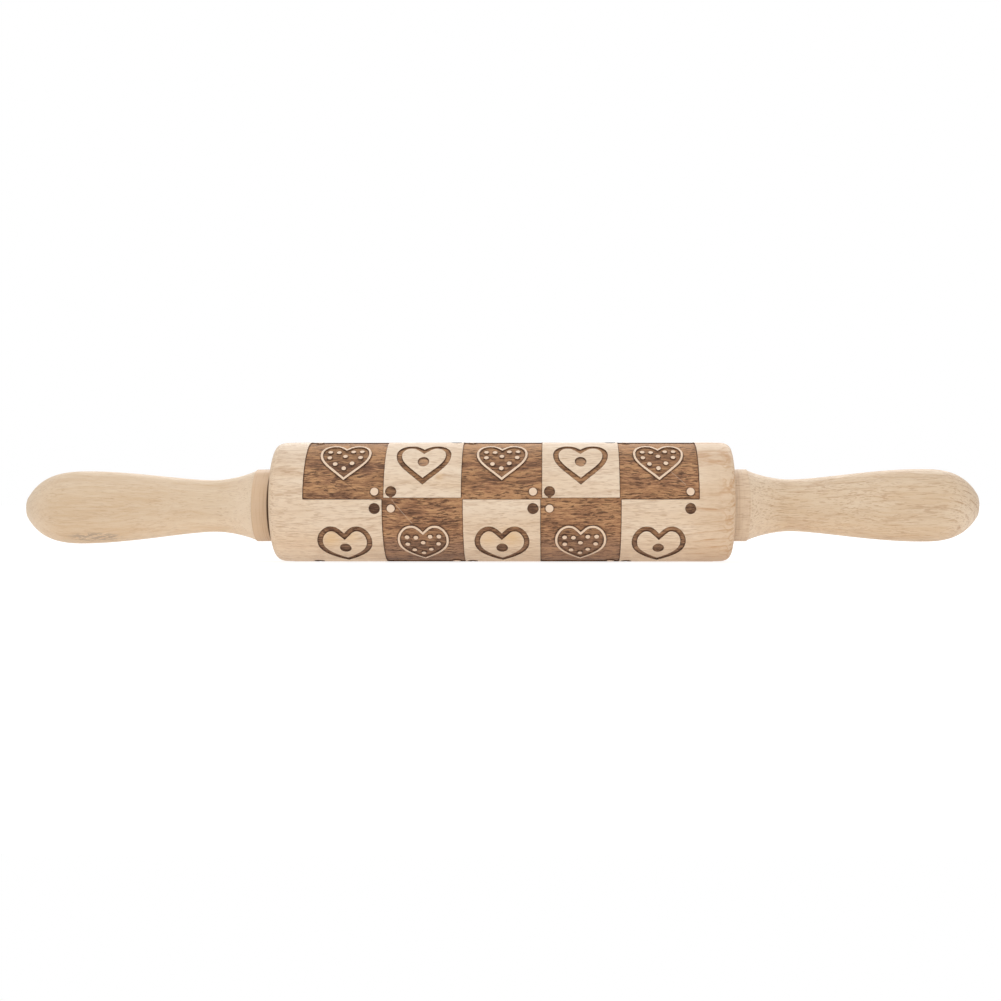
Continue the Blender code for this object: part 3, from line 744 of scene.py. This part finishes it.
def burned_square(sizes, distance, radius, upper):
    """Outline of a sunk square with small rounded corners, drawn in by a distance.

    The square over-burns on the side of the chequer's middle line, and not at its other end: an upper square at
    its foot, and a lower one at its head.
    """
    pitch = sizes.column_pitch
    over = sizes.over_burn - distance
    foot, head = (over, -distance) if upper else (-distance, over)
    corners = (
        ((pitch + head, ROW_HEIGHT + head), 0.0),
        ((-head, ROW_HEIGHT + head), math.pi / 2),
        ((-foot, -foot), math.pi),
        ((pitch + foot, -foot), math.pi * 1.5),
    )
    points = []
    for index, (corner, start) in enumerate(corners):
        turn = start + math.pi / 4
        centre = [place - math.copysign(radius, way) for place, way in zip(corner, (math.cos(turn), math.sin(turn)))]
        arc = []
        for step in range(CORNER_STEPS + 1):
            angle = start + math.pi / 2 * step / CORNER_STEPS
            arc.append((centre[0] + radius * math.cos(angle), centre[1] + radius * math.sin(angle)))
        if (head < foot and index < 2) or (foot < head and index > 1):
            side = pitch + over if index in (0, 3) else -over
            knee = (side, ROW_HEIGHT - sizes.over_end if index < 2 else sizes.over_end)
            arc = [knee] + arc if index % 2 == 0 else arc + [knee]
        points += arc
    return points


def sunk_square(sizes, upper):
    """Outlines of a sunk square: at the face, at the floor, where its dark lines end, and what burned darker."""
    pitch, wall, fade, width = sizes.column_pitch, sizes.wall, sizes.fade, sizes.raised_rim
    face, floor, shade = (
        [burned_square(sizes, distance, max(sizes.corner_round - distance, LEAST_CORNER), upper)]
        for distance in (0.0, wall, wall + fade * EDGE_FADE))
    tip = (pitch / 2, sizes.raised_tip)
    rim = heart(tip, sizes.raised_width, sizes.raised_height)
    face += [rim, inset(rim, width)]
    floor += [inset(rim, -wall), inset(rim, width + wall)]
    shade += [inset(rim, -wall - fade), inset(rim, width + wall + fade * INNER_FADE)]
    dots = [
        ((tip[0] + across * sizes.raised_width, tip[1] + up * sizes.raised_height),
         sizes.small_dot / 2, fade * INNER_FADE, SMALL_DOT_SIDES)
        for across, up in SMALL_DOT_SHARES]
    dots += [
        ((pitch - sizes.corner_reach, sizes.corner_above), sizes.raised_dot / 2, fade, DOT_SIDES),
        ((sizes.corner_reach, ROW_HEIGHT - sizes.corner_below), sizes.raised_dot / 2, fade, DOT_SIDES)]
    for centre, radius, reach, sides in dots:
        face.append(circle(centre, radius, sides))
        floor.append(circle(centre, radius + wall, sides))
        shade.append(circle(centre, radius + wall + reach, sides))
    return [(face, floor)], shade, [(HEART_BURN, [face[2]])]


def plain_square(sizes):
    """Outlines of a plain square's cuts: at the face, at the floor, where dark lines end, and what burned darker."""
    pitch, wall, fade, groove = sizes.column_pitch, sizes.wall, sizes.fade, sizes.cut_groove
    tip = (pitch / 2, sizes.cut_tip)
    edge = heart(tip, sizes.cut_width, sizes.cut_height)
    cuts = [([edge, inset(edge, groove)], [inset(edge, wall), inset(edge, groove - wall)])]
    shade = [inset(edge, wall + fade * GROOVE_FADE), inset(edge, groove - wall - fade * GROOVE_FADE)]
    dark = [(GROOVE_BURN, cuts[0][0])]
    dots = (
        ((tip[0], sizes.pit_rise), sizes.pit / 2, sizes.pit_oval, PIT_BURN),
        ((sizes.corner_reach, sizes.corner_above), sizes.cut_dot / 2, 1.0, DOT_BURN),
        ((pitch - sizes.corner_reach, ROW_HEIGHT - sizes.corner_below), sizes.cut_dot / 2, 1.0, DOT_BURN),
    )
    for centre, radius, rise, burning in dots:
        rings = [[circle(centre, radius - less, PIT_SIDES, rise)] for less in (0.0, wall)]
        cuts.append(tuple(rings))
        shade.append(circle(centre, radius - wall - fade, PIT_SIDES, rise))
        dark.append((burning, rings[0]))

    # A neck leads from an engraved dot to the square below
    necks = []
    for narrow in (0.0, wall):
        left = sizes.corner_reach - sizes.neck / 2 + narrow
        right = sizes.corner_reach + sizes.neck / 2 - narrow
        low = -sizes.over_burn - wall * 2
        high = sizes.corner_above - sizes.cut_dot / 3
        necks.append([[(left, low), (right, low), (right, high), (left, high)]])
    cuts.append(tuple(necks))
    return cuts, shade, dark


def moved(outlines, across, up):
    """Move outlines on the flat drawing."""
    return [[(point[0] + across, point[1] + up) for point in outline] for outline in outlines]


def inside(outline, points):
    """Say for each point whether it lies in an outline."""
    corners = np.array(outline)
    held = np.zeros(len(points), bool)
    near = np.all((points > corners.min(0)) & (points < corners.max(0)), axis=1)
    some = points[near]
    if len(some):
        parity = np.zeros(len(some), bool)
        for first, last in zip(corners, np.roll(corners, 1, 0)):
            spans = (first[1] > some[:, 1]) != (last[1] > some[:, 1])
            if first[1] != last[1]:
                crossing = first[0] + (last[0] - first[0]) * (some[:, 1] - first[1]) / (last[1] - first[1])
                parity ^= spans & (some[:, 0] < crossing)
        held[near] = parity
    return held


def in_any(groups, points):
    """Say for each point whether it lies in the even-odd fill of any group of outlines."""
    held = np.zeros(len(points), bool)
    for outlines in groups:
        parity = np.zeros(len(points), bool)
        for outline in outlines:
            parity ^= inside(outline, points)
        held |= parity
    return held


def lay_out(sizes):
    """Lay out three rows of the chequer flat, from which the drawing takes a band of two rows' height.

    Returns groups of outlines at the face and at the floor, single outlines that only divide the drawing, what
    burned darker, and what stands up in the sunk squares.
    """
    plain = plain_square(sizes)
    sunk = (sunk_square(sizes, True), sunk_square(sizes, False))
    faces, floors, shades, darkened, raised = [], [], [], [], []
    for row in (-1, 0, 1):
        for column in range(COLUMN_COUNT):
            place = ((column - COLUMN_COUNT / 2) * sizes.column_pitch, -row * ROW_HEIGHT)
            kind = (row + column) % 2
            cuts, shade, dark = plain if kind else sunk[row % 2]
            for face, floor in cuts:
                faces.append(moved(face, *place))
                floors.append(moved(floor, *place))
            shades += moved(shade, *place)
            for (burn, soot), outlines in dark:
                if row % 2 and kind:
                    burn, soot = LOWER_PIT_BURN if (burn, soot) == PIT_BURN else (burn, soot + LOWER_ROW_SOOT)
                darkened.append((burn, soot, moved(outlines, *place)))
            if kind == 0:
                raised += faces[-1][1:2] + faces[-1][3:]
    for row, column, start, end, burn, soot in TRACES:
        shift = Vector(((column - COLUMN_COUNT / 2) * sizes.column_pitch, -row * ROW_HEIGHT))
        start, end = Vector(start) + shift, Vector(end) + shift
        beside = (end - start).orthogonal().normalized() * sizes.trace / 2
        line = [tuple(start + beside), tuple(end + beside), tuple(end - beside), tuple(start - beside)]
        shades.append(line)
        darkened.append((burn, soot, [line]))
    return faces, floors, shades, darkened, raised


def drawn_band(sizes, side):
    """Draw two rows of the chequer flat, fill them with triangles, and say what each triangle is."""
    low = SEAM_ABOVE_ROW - ROW_HEIGHT
    high = low + 2 * ROW_HEIGHT
    faces, floors, shades, darkened, raised = lay_out(sizes)
    points, edges = [], []
    for line in range(2 * FACETS_PER_ROW + 1):
        up = low + line * ROW_HEIGHT / FACETS_PER_ROW
        edges.append((len(points), len(points) + 1))
        points += [(-side, up), (side, up)]
    last = len(points) - 1
    edges += [(0, last - 1), (1, last)]
    for outline in [outline for group in faces + floors for outline in group] + shades:
        ups = [point[1] for point in outline]
        if max(ups) < low or min(ups) > high:
            continue
        first, count = len(points), len(outline)
        points += outline
        edges += [(first + index, first + (index + 1) % count) for index in range(count)]
    drawing = delaunay_2d_cdt([Vector(point) for point in points], edges, [], 0, WELD, False)
    places = np.array([tuple(place) for place in drawing[0]])
    triangles = np.array([tuple(triangle) for triangle in drawing[2]])
    middles = places[triangles].mean(axis=1)
    kept = (middles[:, 1] > low) & (middles[:, 1] < high)
    triangles, middles = triangles[kept], middles[kept]
    cut = in_any(faces, middles)
    floor = in_any(floors, middles)
    dark = np.zeros(len(middles))
    burned = floor.astype(float)
    for burn, soot, outlines in darkened:
        held = in_any([outlines], middles)
        dark = np.maximum(dark, soot * held)
        burned[held & floor] = burn
    facts = {
        "cut": cut,
        "floor": floor,
        "dark": dark,
        "fresh": ~cut & in_any([[outline] for outline in raised], middles),
        "burned": burned,
    }
    return places, triangles, facts, low, high


def engraved_face(sizes, axis, centre, side):
    """Roll the flat drawing up twice into the roller's face. Returns its places, triangles and measures."""
    places, triangles, facts, low, high = drawn_band(sizes, side)
    used, flat = np.unique(triangles, return_inverse=True)
    places, triangles = places[used], flat.reshape(triangles.shape)
    count = len(places)

    # Each half turn ends on the points where the other begins
    def on_line(up):
        found = np.flatnonzero(np.abs(places[:, 1] - up) < WELD * 2)
        return found[np.argsort(places[found, 0])]

    bottom, top = on_line(low), on_line(high)
    if len(bottom) != len(top):
        raise RuntimeError(f"the two ends of the drawing differ: {len(bottom)} and {len(top)} points")
    first, second = np.arange(count), np.arange(count) + count
    first[top] = bottom + count
    second[top] = bottom
    triangles = np.concatenate([first[triangles], second[triangles]])
    facts = {name: np.concatenate([value, value]) for name, value in facts.items()}
    across = np.concatenate([places[:, 0], places[:, 0]])
    edge = COLUMN_COUNT / 2 * sizes.column_pitch + sizes.over_burn
    last_start = edge - sizes.column_pitch
    across = np.interp(across, [-side, last_start, edge, side], [-side, last_start, edge - sizes.last_column, side])
    angle = (np.concatenate([places[:, 1], places[:, 1] + 2 * ROW_HEIGHT]) + sizes.pattern_rise) / DRAWN_RADIUS

    # A point is on the face where land meets it, and otherwise on the floor or half way down a wall
    wall = facts["cut"] & ~facts["floor"]
    on_land, on_floor, at_foot = (np.zeros(2 * count, bool) for _ in range(3))
    on_land[triangles[~facts["cut"]]] = True
    on_floor[triangles[facts["floor"]]] = True
    at_foot[triangles[wall]] = True
    sunk = np.where(on_land, 0.0, np.where(on_floor, 1.0, 0.5))
    radius = axis[2] - sizes.depth * sunk

    vertices = np.stack([
        across + centre,
        axis[0] - radius * np.cos(angle),
        axis[1] + radius * np.sin(angle),
    ], axis=1)
    wandering = np.abs(across) < COLUMN_COUNT / 2 * sizes.column_pitch + 2 * sizes.over_burn
    noise.seed_set(WOBBLE_SEED)
    for index in np.flatnonzero(wandering):
        wander = noise.noise_vector(Vector(vertices[index]) * WOBBLE_TURNS) * sizes.wobble
        outward = Vector((0.0, vertices[index][1] - axis[0], vertices[index][2] - axis[1])).normalized()
        vertices[index] += np.array(wander - outward * wander.dot(outward))

    corners = np.ones(3)
    foot = at_foot[triangles] & ~on_land[triangles]
    soot = np.maximum(foot, facts["dark"][:, None])
    measures = {
        "burn": np.where(wall, 1.0, facts["burned"])[:, None] * corners,
        "soot": np.where(facts["floor"][:, None], soot, wall[:, None] * corners),
        "fresh": facts["fresh"][:, None] * corners,
    }
    keep = np.unique(triangles)
    renumbered = np.full(2 * count, -1)
    renumbered[keep] = np.arange(len(keep))
    return vertices[keep], renumbered[triangles], measures, wall


def roller_end_profile(sizes, outer, face):
    """One end of the roller from its taper in over its end face to its bore, as (place, radius)."""
    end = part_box("roller")[1].x
    flange_low, flange_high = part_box("right_bush")
    flange = (flange_high.z - flange_low.z) / 2 + sizes.seat
    recess = face - (end - flange_high.x) - FLANGE_THICKNESS - sizes.seat
    seat = face - (end - flange_low.x) - sizes.seat
    edge = outer - sizes.taper_drop
    points = [(face - sizes.round_length - sizes.taper_length * share, outer - sizes.taper_drop * (1 - share) ** 2)
              for share in TAPER_SHARES]
    for step in range(ROUND_STEPS + 1):
        angle = math.pi / 2 * step / ROUND_STEPS
        points.append((
            face - sizes.round_length * (1 - math.sin(angle)),
            edge - sizes.round_depth * (1 - math.cos(angle))))
    points += [(face, flange + sizes.edge), (face - sizes.edge, flange), (recess, flange)]
    return points + [(recess, SLEEVE_HOLE), (seat, SLEEVE_HOLE), (seat, ROD_HOLE)]


def set_measures(mesh, measures):
    """Write the roller's measures to the corners of its triangles."""
    for name, values in measures.items():
        attribute = mesh.attributes.new(name, "FLOAT", "CORNER")
        attribute.data.foreach_set("value", np.ascontiguousarray(values, np.float32).ravel())


def select_open_edges(piece, low=-math.inf, high=math.inf):
    """Select a piece's open edges between two places along the pin."""
    edit = bmesh.from_edit_mesh(piece.data)
    for edge in edit.edges:
        edge.select_set(edge.is_boundary and low < edge.verts[0].co.x < high)
    edit.select_flush_mode()
    bmesh.update_edit_mesh(piece.data)


def make_roller(sizes, turning):
    """Model the engraved roller: its rolled face, its two rounded ends and its stepped bore."""
    axis = node_axis("roller")
    low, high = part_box("roller")
    centre = (low.x + high.x) / 2
    face = (high.x - low.x) / 2
    side = face - turning.taper_length
    vertices, triangles, measures, wall = engraved_face(sizes, axis, centre, side)
    deselect()
    mesh = bpy.data.meshes.new("engraved_roller")
    mesh.from_pydata(vertices.tolist(), [], triangles.tolist())
    set_measures(mesh, measures)
    part = mesh.attributes.new("wall", "INT", "FACE")
    part.data.foreach_set("value", (wall.astype(np.int32) + 1))
    piece = bpy.data.objects.new("engraved_roller", mesh)
    bpy.context.scene.collection.objects.link(piece)
    bpy.context.view_layer.objects.active = piece
    piece.select_set(True)

    bpy.ops.object.mode_set(mode="EDIT")
    bpy.ops.mesh.select_mode(type="EDGE")
    profile = roller_end_profile(turning, axis[2], face)
    for direction, span in ((-1, (-math.inf, centre)), (1, (centre, math.inf))):
        select_open_edges(piece, *span)
        last_place, last_radius = side, axis[2]
        for place, radius in profile:
            turn_ring(axis, centre + direction * place, direction * (place - last_place), radius / last_radius)
            last_place, last_radius = place, radius
    select_open_edges(piece)
    bpy.ops.mesh.bridge_edge_loops()
    bpy.ops.mesh.select_all(action="SELECT")
    bpy.ops.mesh.normals_make_consistent(inside=False)
    bpy.ops.object.mode_set(mode="OBJECT")
    bpy.ops.object.shade_smooth_by_angle(angle=SMOOTH_ANGLE)
    smooth_face(piece.data, axis, centre, side)
    return piece


def read_all(items, name, kind, width=1):
    """Read one property of all of a mesh's items into an array."""
    values = np.zeros(len(items) * width, kind)
    items.foreach_get(name, values)
    return values.reshape(-1, width) if width > 1 else values


def smooth_face(mesh, axis, centre, side):
    """Shade the face and the engraving's floor as parts of one round barrel."""
    kinds = read_all(mesh.attributes["wall"].data, "value", np.int32)
    spots = read_all(mesh.vertices, "co", np.float64, 3)
    corners = read_all(mesh.loops, "vertex_index", np.int32)
    sizes = read_all(mesh.polygons, "loop_total", np.int32)
    middles = read_all(mesh.polygons, "center", np.float64, 3)
    round_face = (kinds != 2) & (np.abs(middles[:, 0] - centre) < side)
    round_face &= np.hypot(middles[:, 1] - axis[0], middles[:, 2] - axis[1]) > axis[2] * FACE_SHARE
    outward = spots[corners] - np.array([0.0, axis[0], axis[1]])
    outward[:, 0] = 0.0
    outward /= np.maximum(np.linalg.norm(outward, axis=1), TINY)[:, None]
    outward[~np.repeat(round_face, sizes)] = 0.0
    mesh.normals_split_custom_set(outward.tolist())


def curve_points(start, end, shares, steps):
    """Follow a Bezier curve between two (place, radius) points, without its first point."""
    (start_run, start_change), (end_run, end_change) = shares
    run = end[0] - start[0]
    change = end[1] - start[1]
    knots = (
        start,
        (start[0] + run * start_run, start[1] + change * start_change),
        (end[0] - run * end_run, end[1] - change * end_change),
        end,
    )
    points = interpolate_bezier(*[Vector((place, radius, 0.0)) for place, radius in knots], steps + 1)
    return [(point.x, point.y) for point in points[1:]]


def handle_profile(sizes, length_along, swell_radius, bore, tip_curve):
    """Rings of a handle from its tip down to its face, then into its bore, as (distance from face, radius)."""
    collar_foot = (sizes.collar_length, sizes.collar_radius - sizes.collar_step)
    neck = (sizes.neck_place, sizes.neck_radius)
    swell = (sizes.swell_place, swell_radius)
    tip = (length_along, sizes.tip_radius)
    edge = sizes.edge
    outside = [
        (0.0, sizes.collar_radius - edge),
        (edge * EDGE_MIDDLE, sizes.collar_radius - edge * EDGE_MIDDLE),
        (edge, sizes.collar_radius),
        (sizes.collar_length - STEP_WIDTH, sizes.collar_radius),
        collar_foot,
    ]
    curves = (collar_foot, neck, NECK_CURVE), (neck, swell, SWELL_CURVE), (swell, tip, tip_curve)
    for curve, steps in zip(curves, CURVE_STEPS):
        outside += curve_points(*curve, steps)
    point_length, point_radius = DRILL_POINT
    drilled = [(0.0, bore + edge), (edge, bore), (sizes.bore_depth, bore)]
    return outside[::-1] + drilled + [(sizes.bore_depth + point_length, point_radius)]


def make_handle(side, sizes):
    """Turn one handle."""
    low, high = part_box(side + "_handle")
    axis = node_axis(side + "_handle")
    direction = 1 if side == "right" else -1
    face = low.x if side == "right" else high.x
    bore = node_axis("axle_rod")[2] + sizes.seat
    profile = handle_profile(sizes, high.x - low.x, axis[2], bore, TIP_CURVES[side])
    rings = [(face + direction * place, radius) for place, radius in profile]
    droop = sizes.droop if side == "left" else 0.0
    sunk = [droop * place if radius > bore + sizes.edge else 0.0 for place, radius in profile]
    return turn_piece(side + "_turned_handle", axis, rings, HANDLE_SIDES, sunk=sunk)


def make_axle():
    """Turn the axle rod, with two holding grooves at each end."""
    low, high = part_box("axle_rod")
    axis = node_axis("axle_rod")
    centre, half, radius = (high.x + low.x) / 2, (high.x - low.x) / 2, axis[2]
    rings = [(half - inward, radius - deep) for inward, deep in AXLE_END]
    for groove in (1, 2):
        top = half - groove * GROOVE_SPACING
        rings += [(top - inward, radius - deep) for inward, deep in AXLE_GROOVE]
    rings += [(-place, ring) for place, ring in reversed(rings)]
    return turn_piece("drawn_axle", axis, [(centre + place, ring) for place, ring in rings], AXLE_SIDES)


def make_bush(side):
    """Turn one flanged bush."""
    low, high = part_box(side + "_bush")
    axis = node_axis(side + "_bush")
    outer, end = axis[2], high.x - low.x
    direction, face = (1, high.x) if side == "right" else (-1, low.x)
    profile = [
        (0.0, BUSH_BORE + BORE_EDGE), (0.0, outer - FLANGE_EDGE), (FLANGE_EDGE / 3, outer - FLANGE_EDGE / 3),
        (FLANGE_EDGE, outer), (FLANGE_THICKNESS, outer), (FLANGE_THICKNESS, SLEEVE_RADIUS),
        (end - SLEEVE_EDGE, SLEEVE_RADIUS), (end, SLEEVE_RADIUS - SLEEVE_EDGE), (end, BUSH_BORE + BORE_EDGE),
        (end - BORE_EDGE, BUSH_BORE), (BORE_EDGE, BUSH_BORE),
    ]
    rings = [(face - direction * place, radius) for place, radius in profile]
    return turn_piece(side + "_flanged_bush", axis, rings, BUSH_SIDES, closed=True)


def make_washer(side):
    """Punch one washer, with its edges slightly broken."""
    low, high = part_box(side + "_washer")
    axis = node_axis(side + "_washer")
    outer, bore, edge = axis[2], axis[2] - WASHER_WIDTH, WASHER_EDGE
    profile = [
        (low.x, bore + edge), (low.x, outer - edge), (low.x + edge, outer), (high.x - edge, outer),
        (high.x, outer - edge), (high.x, bore + edge), (high.x - edge, bore), (low.x + edge, bore),
    ]
    return turn_piece(side + "_thrust_washer", axis, profile, BUSH_SIDES, closed=True)


class ROLLINGPIN_OT_roller(bpy.types.Operator):
    """Add the engraved roller"""

    bl_idname = "rollingpin.add_roller"
    bl_label = "Engraved Roller"

    def execute(self, context):
        piece = make_roller(context.scene.pin_engraving, context.scene.pin_turning)
        finish_piece(piece, roller_material(context.scene.pin_wood), "roller_set", "roller")
        return {"FINISHED"}


class ROLLINGPIN_OT_handles(bpy.types.Operator):
    """Add the two turned handles"""

    bl_idname = "rollingpin.add_handles"
    bl_label = "Turned Handles"

    def execute(self, context):
        for side in HANDLE_WOOD:
            piece = make_handle(side, context.scene.pin_turning)
            material = handle_material(side, context.scene.pin_wood, context.scene.pin_turning)
            finish_piece(piece, material, "handle_set", side + "_handle")
        return {"FINISHED"}


class ROLLINGPIN_OT_axle(bpy.types.Operator):
    """Add the axle rod"""

    bl_idname = "rollingpin.add_axle"
    bl_label = "Axle Rod"

    def execute(self, context):
        material = metal_material("axle_steel", context.scene.pin_metal.steel, pitch=0.0004, roughness=0.28)
        finish_piece(make_axle(), material, "handle_set", "axle_rod")
        return {"FINISHED"}


class ROLLINGPIN_OT_bushes(bpy.types.Operator):
    """Add the two flanged bushes"""

    bl_idname = "rollingpin.add_bushes"
    bl_label = "Flanged Bushes"

    def execute(self, context):
        material = nylon_material(context.scene.pin_metal.nylon)
        for side in ("left", "right"):
            finish_piece(make_bush(side), material, "roller_set", side + "_bush")
        return {"FINISHED"}


class ROLLINGPIN_OT_washers(bpy.types.Operator):
    """Add the two thrust washers"""

    bl_idname = "rollingpin.add_washers"
    bl_label = "Thrust Washers"

    def execute(self, context):
        material = metal_material("washer_steel", context.scene.pin_metal.zinc, pitch=0.0008, roughness=0.38)
        for side in ("left", "right"):
            finish_piece(make_washer(side), material, "handle_set", side + "_washer")
        return {"FINISHED"}


def seen_rays(tree):
    """Tell the rays of the camera and of reflections from those that only carry light."""
    path = add_node(tree, "ShaderNodeLightPath")
    seen = math_node(tree, "ADD", path["Is Camera Ray"], path["Is Glossy Ray"], clamp=True)
    return math_node(tree, "ADD", seen, path["Is Transmission Ray"], clamp=True)


def glowing(tree, grey, strength):
    """Add a grey face that also glows white."""
    matt = add_node(tree, "ShaderNodeBsdfDiffuse", None, {"Color": full_colour([grey] * 3)})[0]
    glow = add_node(tree, "ShaderNodeEmission", None, {"Color": full_colour([1.0] * 3), "Strength": strength})[0]
    return add_node(tree, "ShaderNodeAddShader", None, {0: matt, 1: glow})[0]


def floor_material():
    """Pale floor that stays white to the camera and still takes the pin's shadow."""
    material = bpy.data.materials.new("pale_floor")
    material.use_nodes = True
    tree = material.node_tree
    tree.nodes.clear()
    away = vector_node(tree, "LENGTH", add_node(tree, "ShaderNodeTexCoord")["Object"])
    white = glowing(tree, FLOOR_GREY, range_node(tree, away, *FLOOR_FADE))
    inputs = {0: seen_rays(tree), 1: glowing(tree, *FLOOR_LIGHT), 2: white}
    shown = add_node(tree, "ShaderNodeMixShader", None, inputs)[0]
    add_node(tree, "ShaderNodeOutputMaterial", None, {"Surface": shown})
    return material


def set_world():
    """Even white surroundings, that the camera and reflections see as white."""
    world = bpy.data.worlds.new("studio")
    bpy.context.scene.world = world
    world.use_nodes = True
    tree = world.node_tree
    tree.nodes.clear()
    strength = range_node(tree, seen_rays(tree), 0.0, 1.0, WORLD_LIGHT, 1.0, smooth=False)
    inputs = {"Color": full_colour([1.0] * 3), "Strength": strength}
    shown = add_node(tree, "ShaderNodeBackground", None, inputs)[0]
    add_node(tree, "ShaderNodeOutputWorld", None, {"Surface": shown})


def add_lamp(name, place, size, power):
    """Add a soft rectangular lamp that points at the pin."""
    data = bpy.data.lights.new(name, "AREA")
    data.shape = "RECTANGLE"
    data.size, data.size_y = size
    data.energy = power
    lamp = bpy.data.objects.new(name, data)
    lamp.location = place
    lamp.rotation_euler = (Vector(LAMP_TARGET) - Vector(place)).to_track_quat("-Z", "Y").to_euler()
    bpy.context.scene.collection.objects.link(lamp)


class StageSettings(bpy.types.PropertyGroup):
    """Settings of the stage and its camera."""

    camera_distance: length("Camera distance", "Distance of the camera from the pin's axis", 0.580)
    camera_side: length("Camera side", "How far the camera stands to the right of the pin's middle", 0.020)
    camera_height: length("Camera height", "Height of the camera above the floor", 0.0254)
    lens: bpy.props.FloatProperty(name="Lens", description="Focal length in millimetres", default=50.0)
    shift: bpy.props.FloatProperty(name="Shift", description="Sideways shift of the picture", default=-0.0359)
    yaw: bpy.props.FloatProperty(
        name="Turn", description="Turn of the camera to the left", default=math.radians(0.54), subtype="ANGLE")


class ROLLINGPIN_OT_stage(bpy.types.Operator):
    """Set the floor, the light and the camera"""

    bl_idname = "rollingpin.set_stage"
    bl_label = "Studio Stage"

    def execute(self, context):
        settings = context.scene.pin_stage
        deselect()
        bpy.ops.mesh.primitive_plane_add(size=FLOOR_SIZE, location=(0.0, 0.0, 0.0))
        floor = context.object
        floor.name = "studio_floor"
        floor.data.materials.append(floor_material())
        set_world()
        for lamp in LAMPS:
            add_lamp(*lamp)
        data = bpy.data.cameras.new("camera")
        data.lens = settings.lens
        data.sensor_width = 36.0
        data.shift_x = settings.shift
        camera = bpy.data.objects.new("camera", data)
        camera.location = (settings.camera_side, -settings.camera_distance, settings.camera_height)
        camera.rotation_euler = (math.pi / 2, 0.0, settings.yaw)
        context.scene.collection.objects.link(camera)
        context.scene.camera = camera
        context.scene.view_settings.view_transform = "Standard"
        return {"FINISHED"}


OPERATORS = (
    ROLLINGPIN_OT_roller,
    ROLLINGPIN_OT_handles,
    ROLLINGPIN_OT_axle,
    ROLLINGPIN_OT_bushes,
    ROLLINGPIN_OT_washers,
    ROLLINGPIN_OT_stage,
)


class ROLLINGPIN_PT_pieces(bpy.types.Panel):
    """Lists the pin's pieces and its sizes"""

    bl_label = "Rolling Pin"
    bl_idname = "ROLLINGPIN_PT_pieces"
    bl_space_type = "VIEW_3D"
    bl_region_type = "UI"
    bl_category = "Rolling Pin"

    def draw(self, context):
        for operator in OPERATORS:
            self.layout.operator(operator.bl_idname)
        for name in SETTINGS:
            settings = getattr(context.scene, name)
            for field in settings.__annotations__:
                self.layout.prop(settings, field)


SETTINGS = {
    "pin_engraving": EngravingSizes,
    "pin_turning": TurningSizes,
    "pin_wood": WoodColours,
    "pin_metal": MetalColours,
    "pin_stage": StageSettings,
}


def register():
    """Register the settings, the operators and the panel."""
    for name, group in SETTINGS.items():
        bpy.utils.register_class(group)
        setattr(bpy.types.Scene, name, bpy.props.PointerProperty(type=group))
    for made in OPERATORS + (ROLLINGPIN_PT_pieces,):
        bpy.utils.register_class(made)


def unregister():
    """Take the panel, the operators and the settings out again."""
    for made in (ROLLINGPIN_PT_pieces,) + OPERATORS[::-1]:
        bpy.utils.unregister_class(made)
    for name, group in SETTINGS.items():
        delattr(bpy.types.Scene, name)
        bpy.utils.unregister_class(group)


def main():
    """Build every piece and the stage."""
    register()
    for leftover in list(bpy.context.scene.objects):
        if leftover.type in {"LIGHT", "CAMERA"}:
            bpy.data.objects.remove(leftover)
    for operator in OPERATORS:
        space, name = operator.bl_idname.split(".")
        getattr(getattr(bpy.ops, space), name)()


if __name__ == "__main__":
    main()
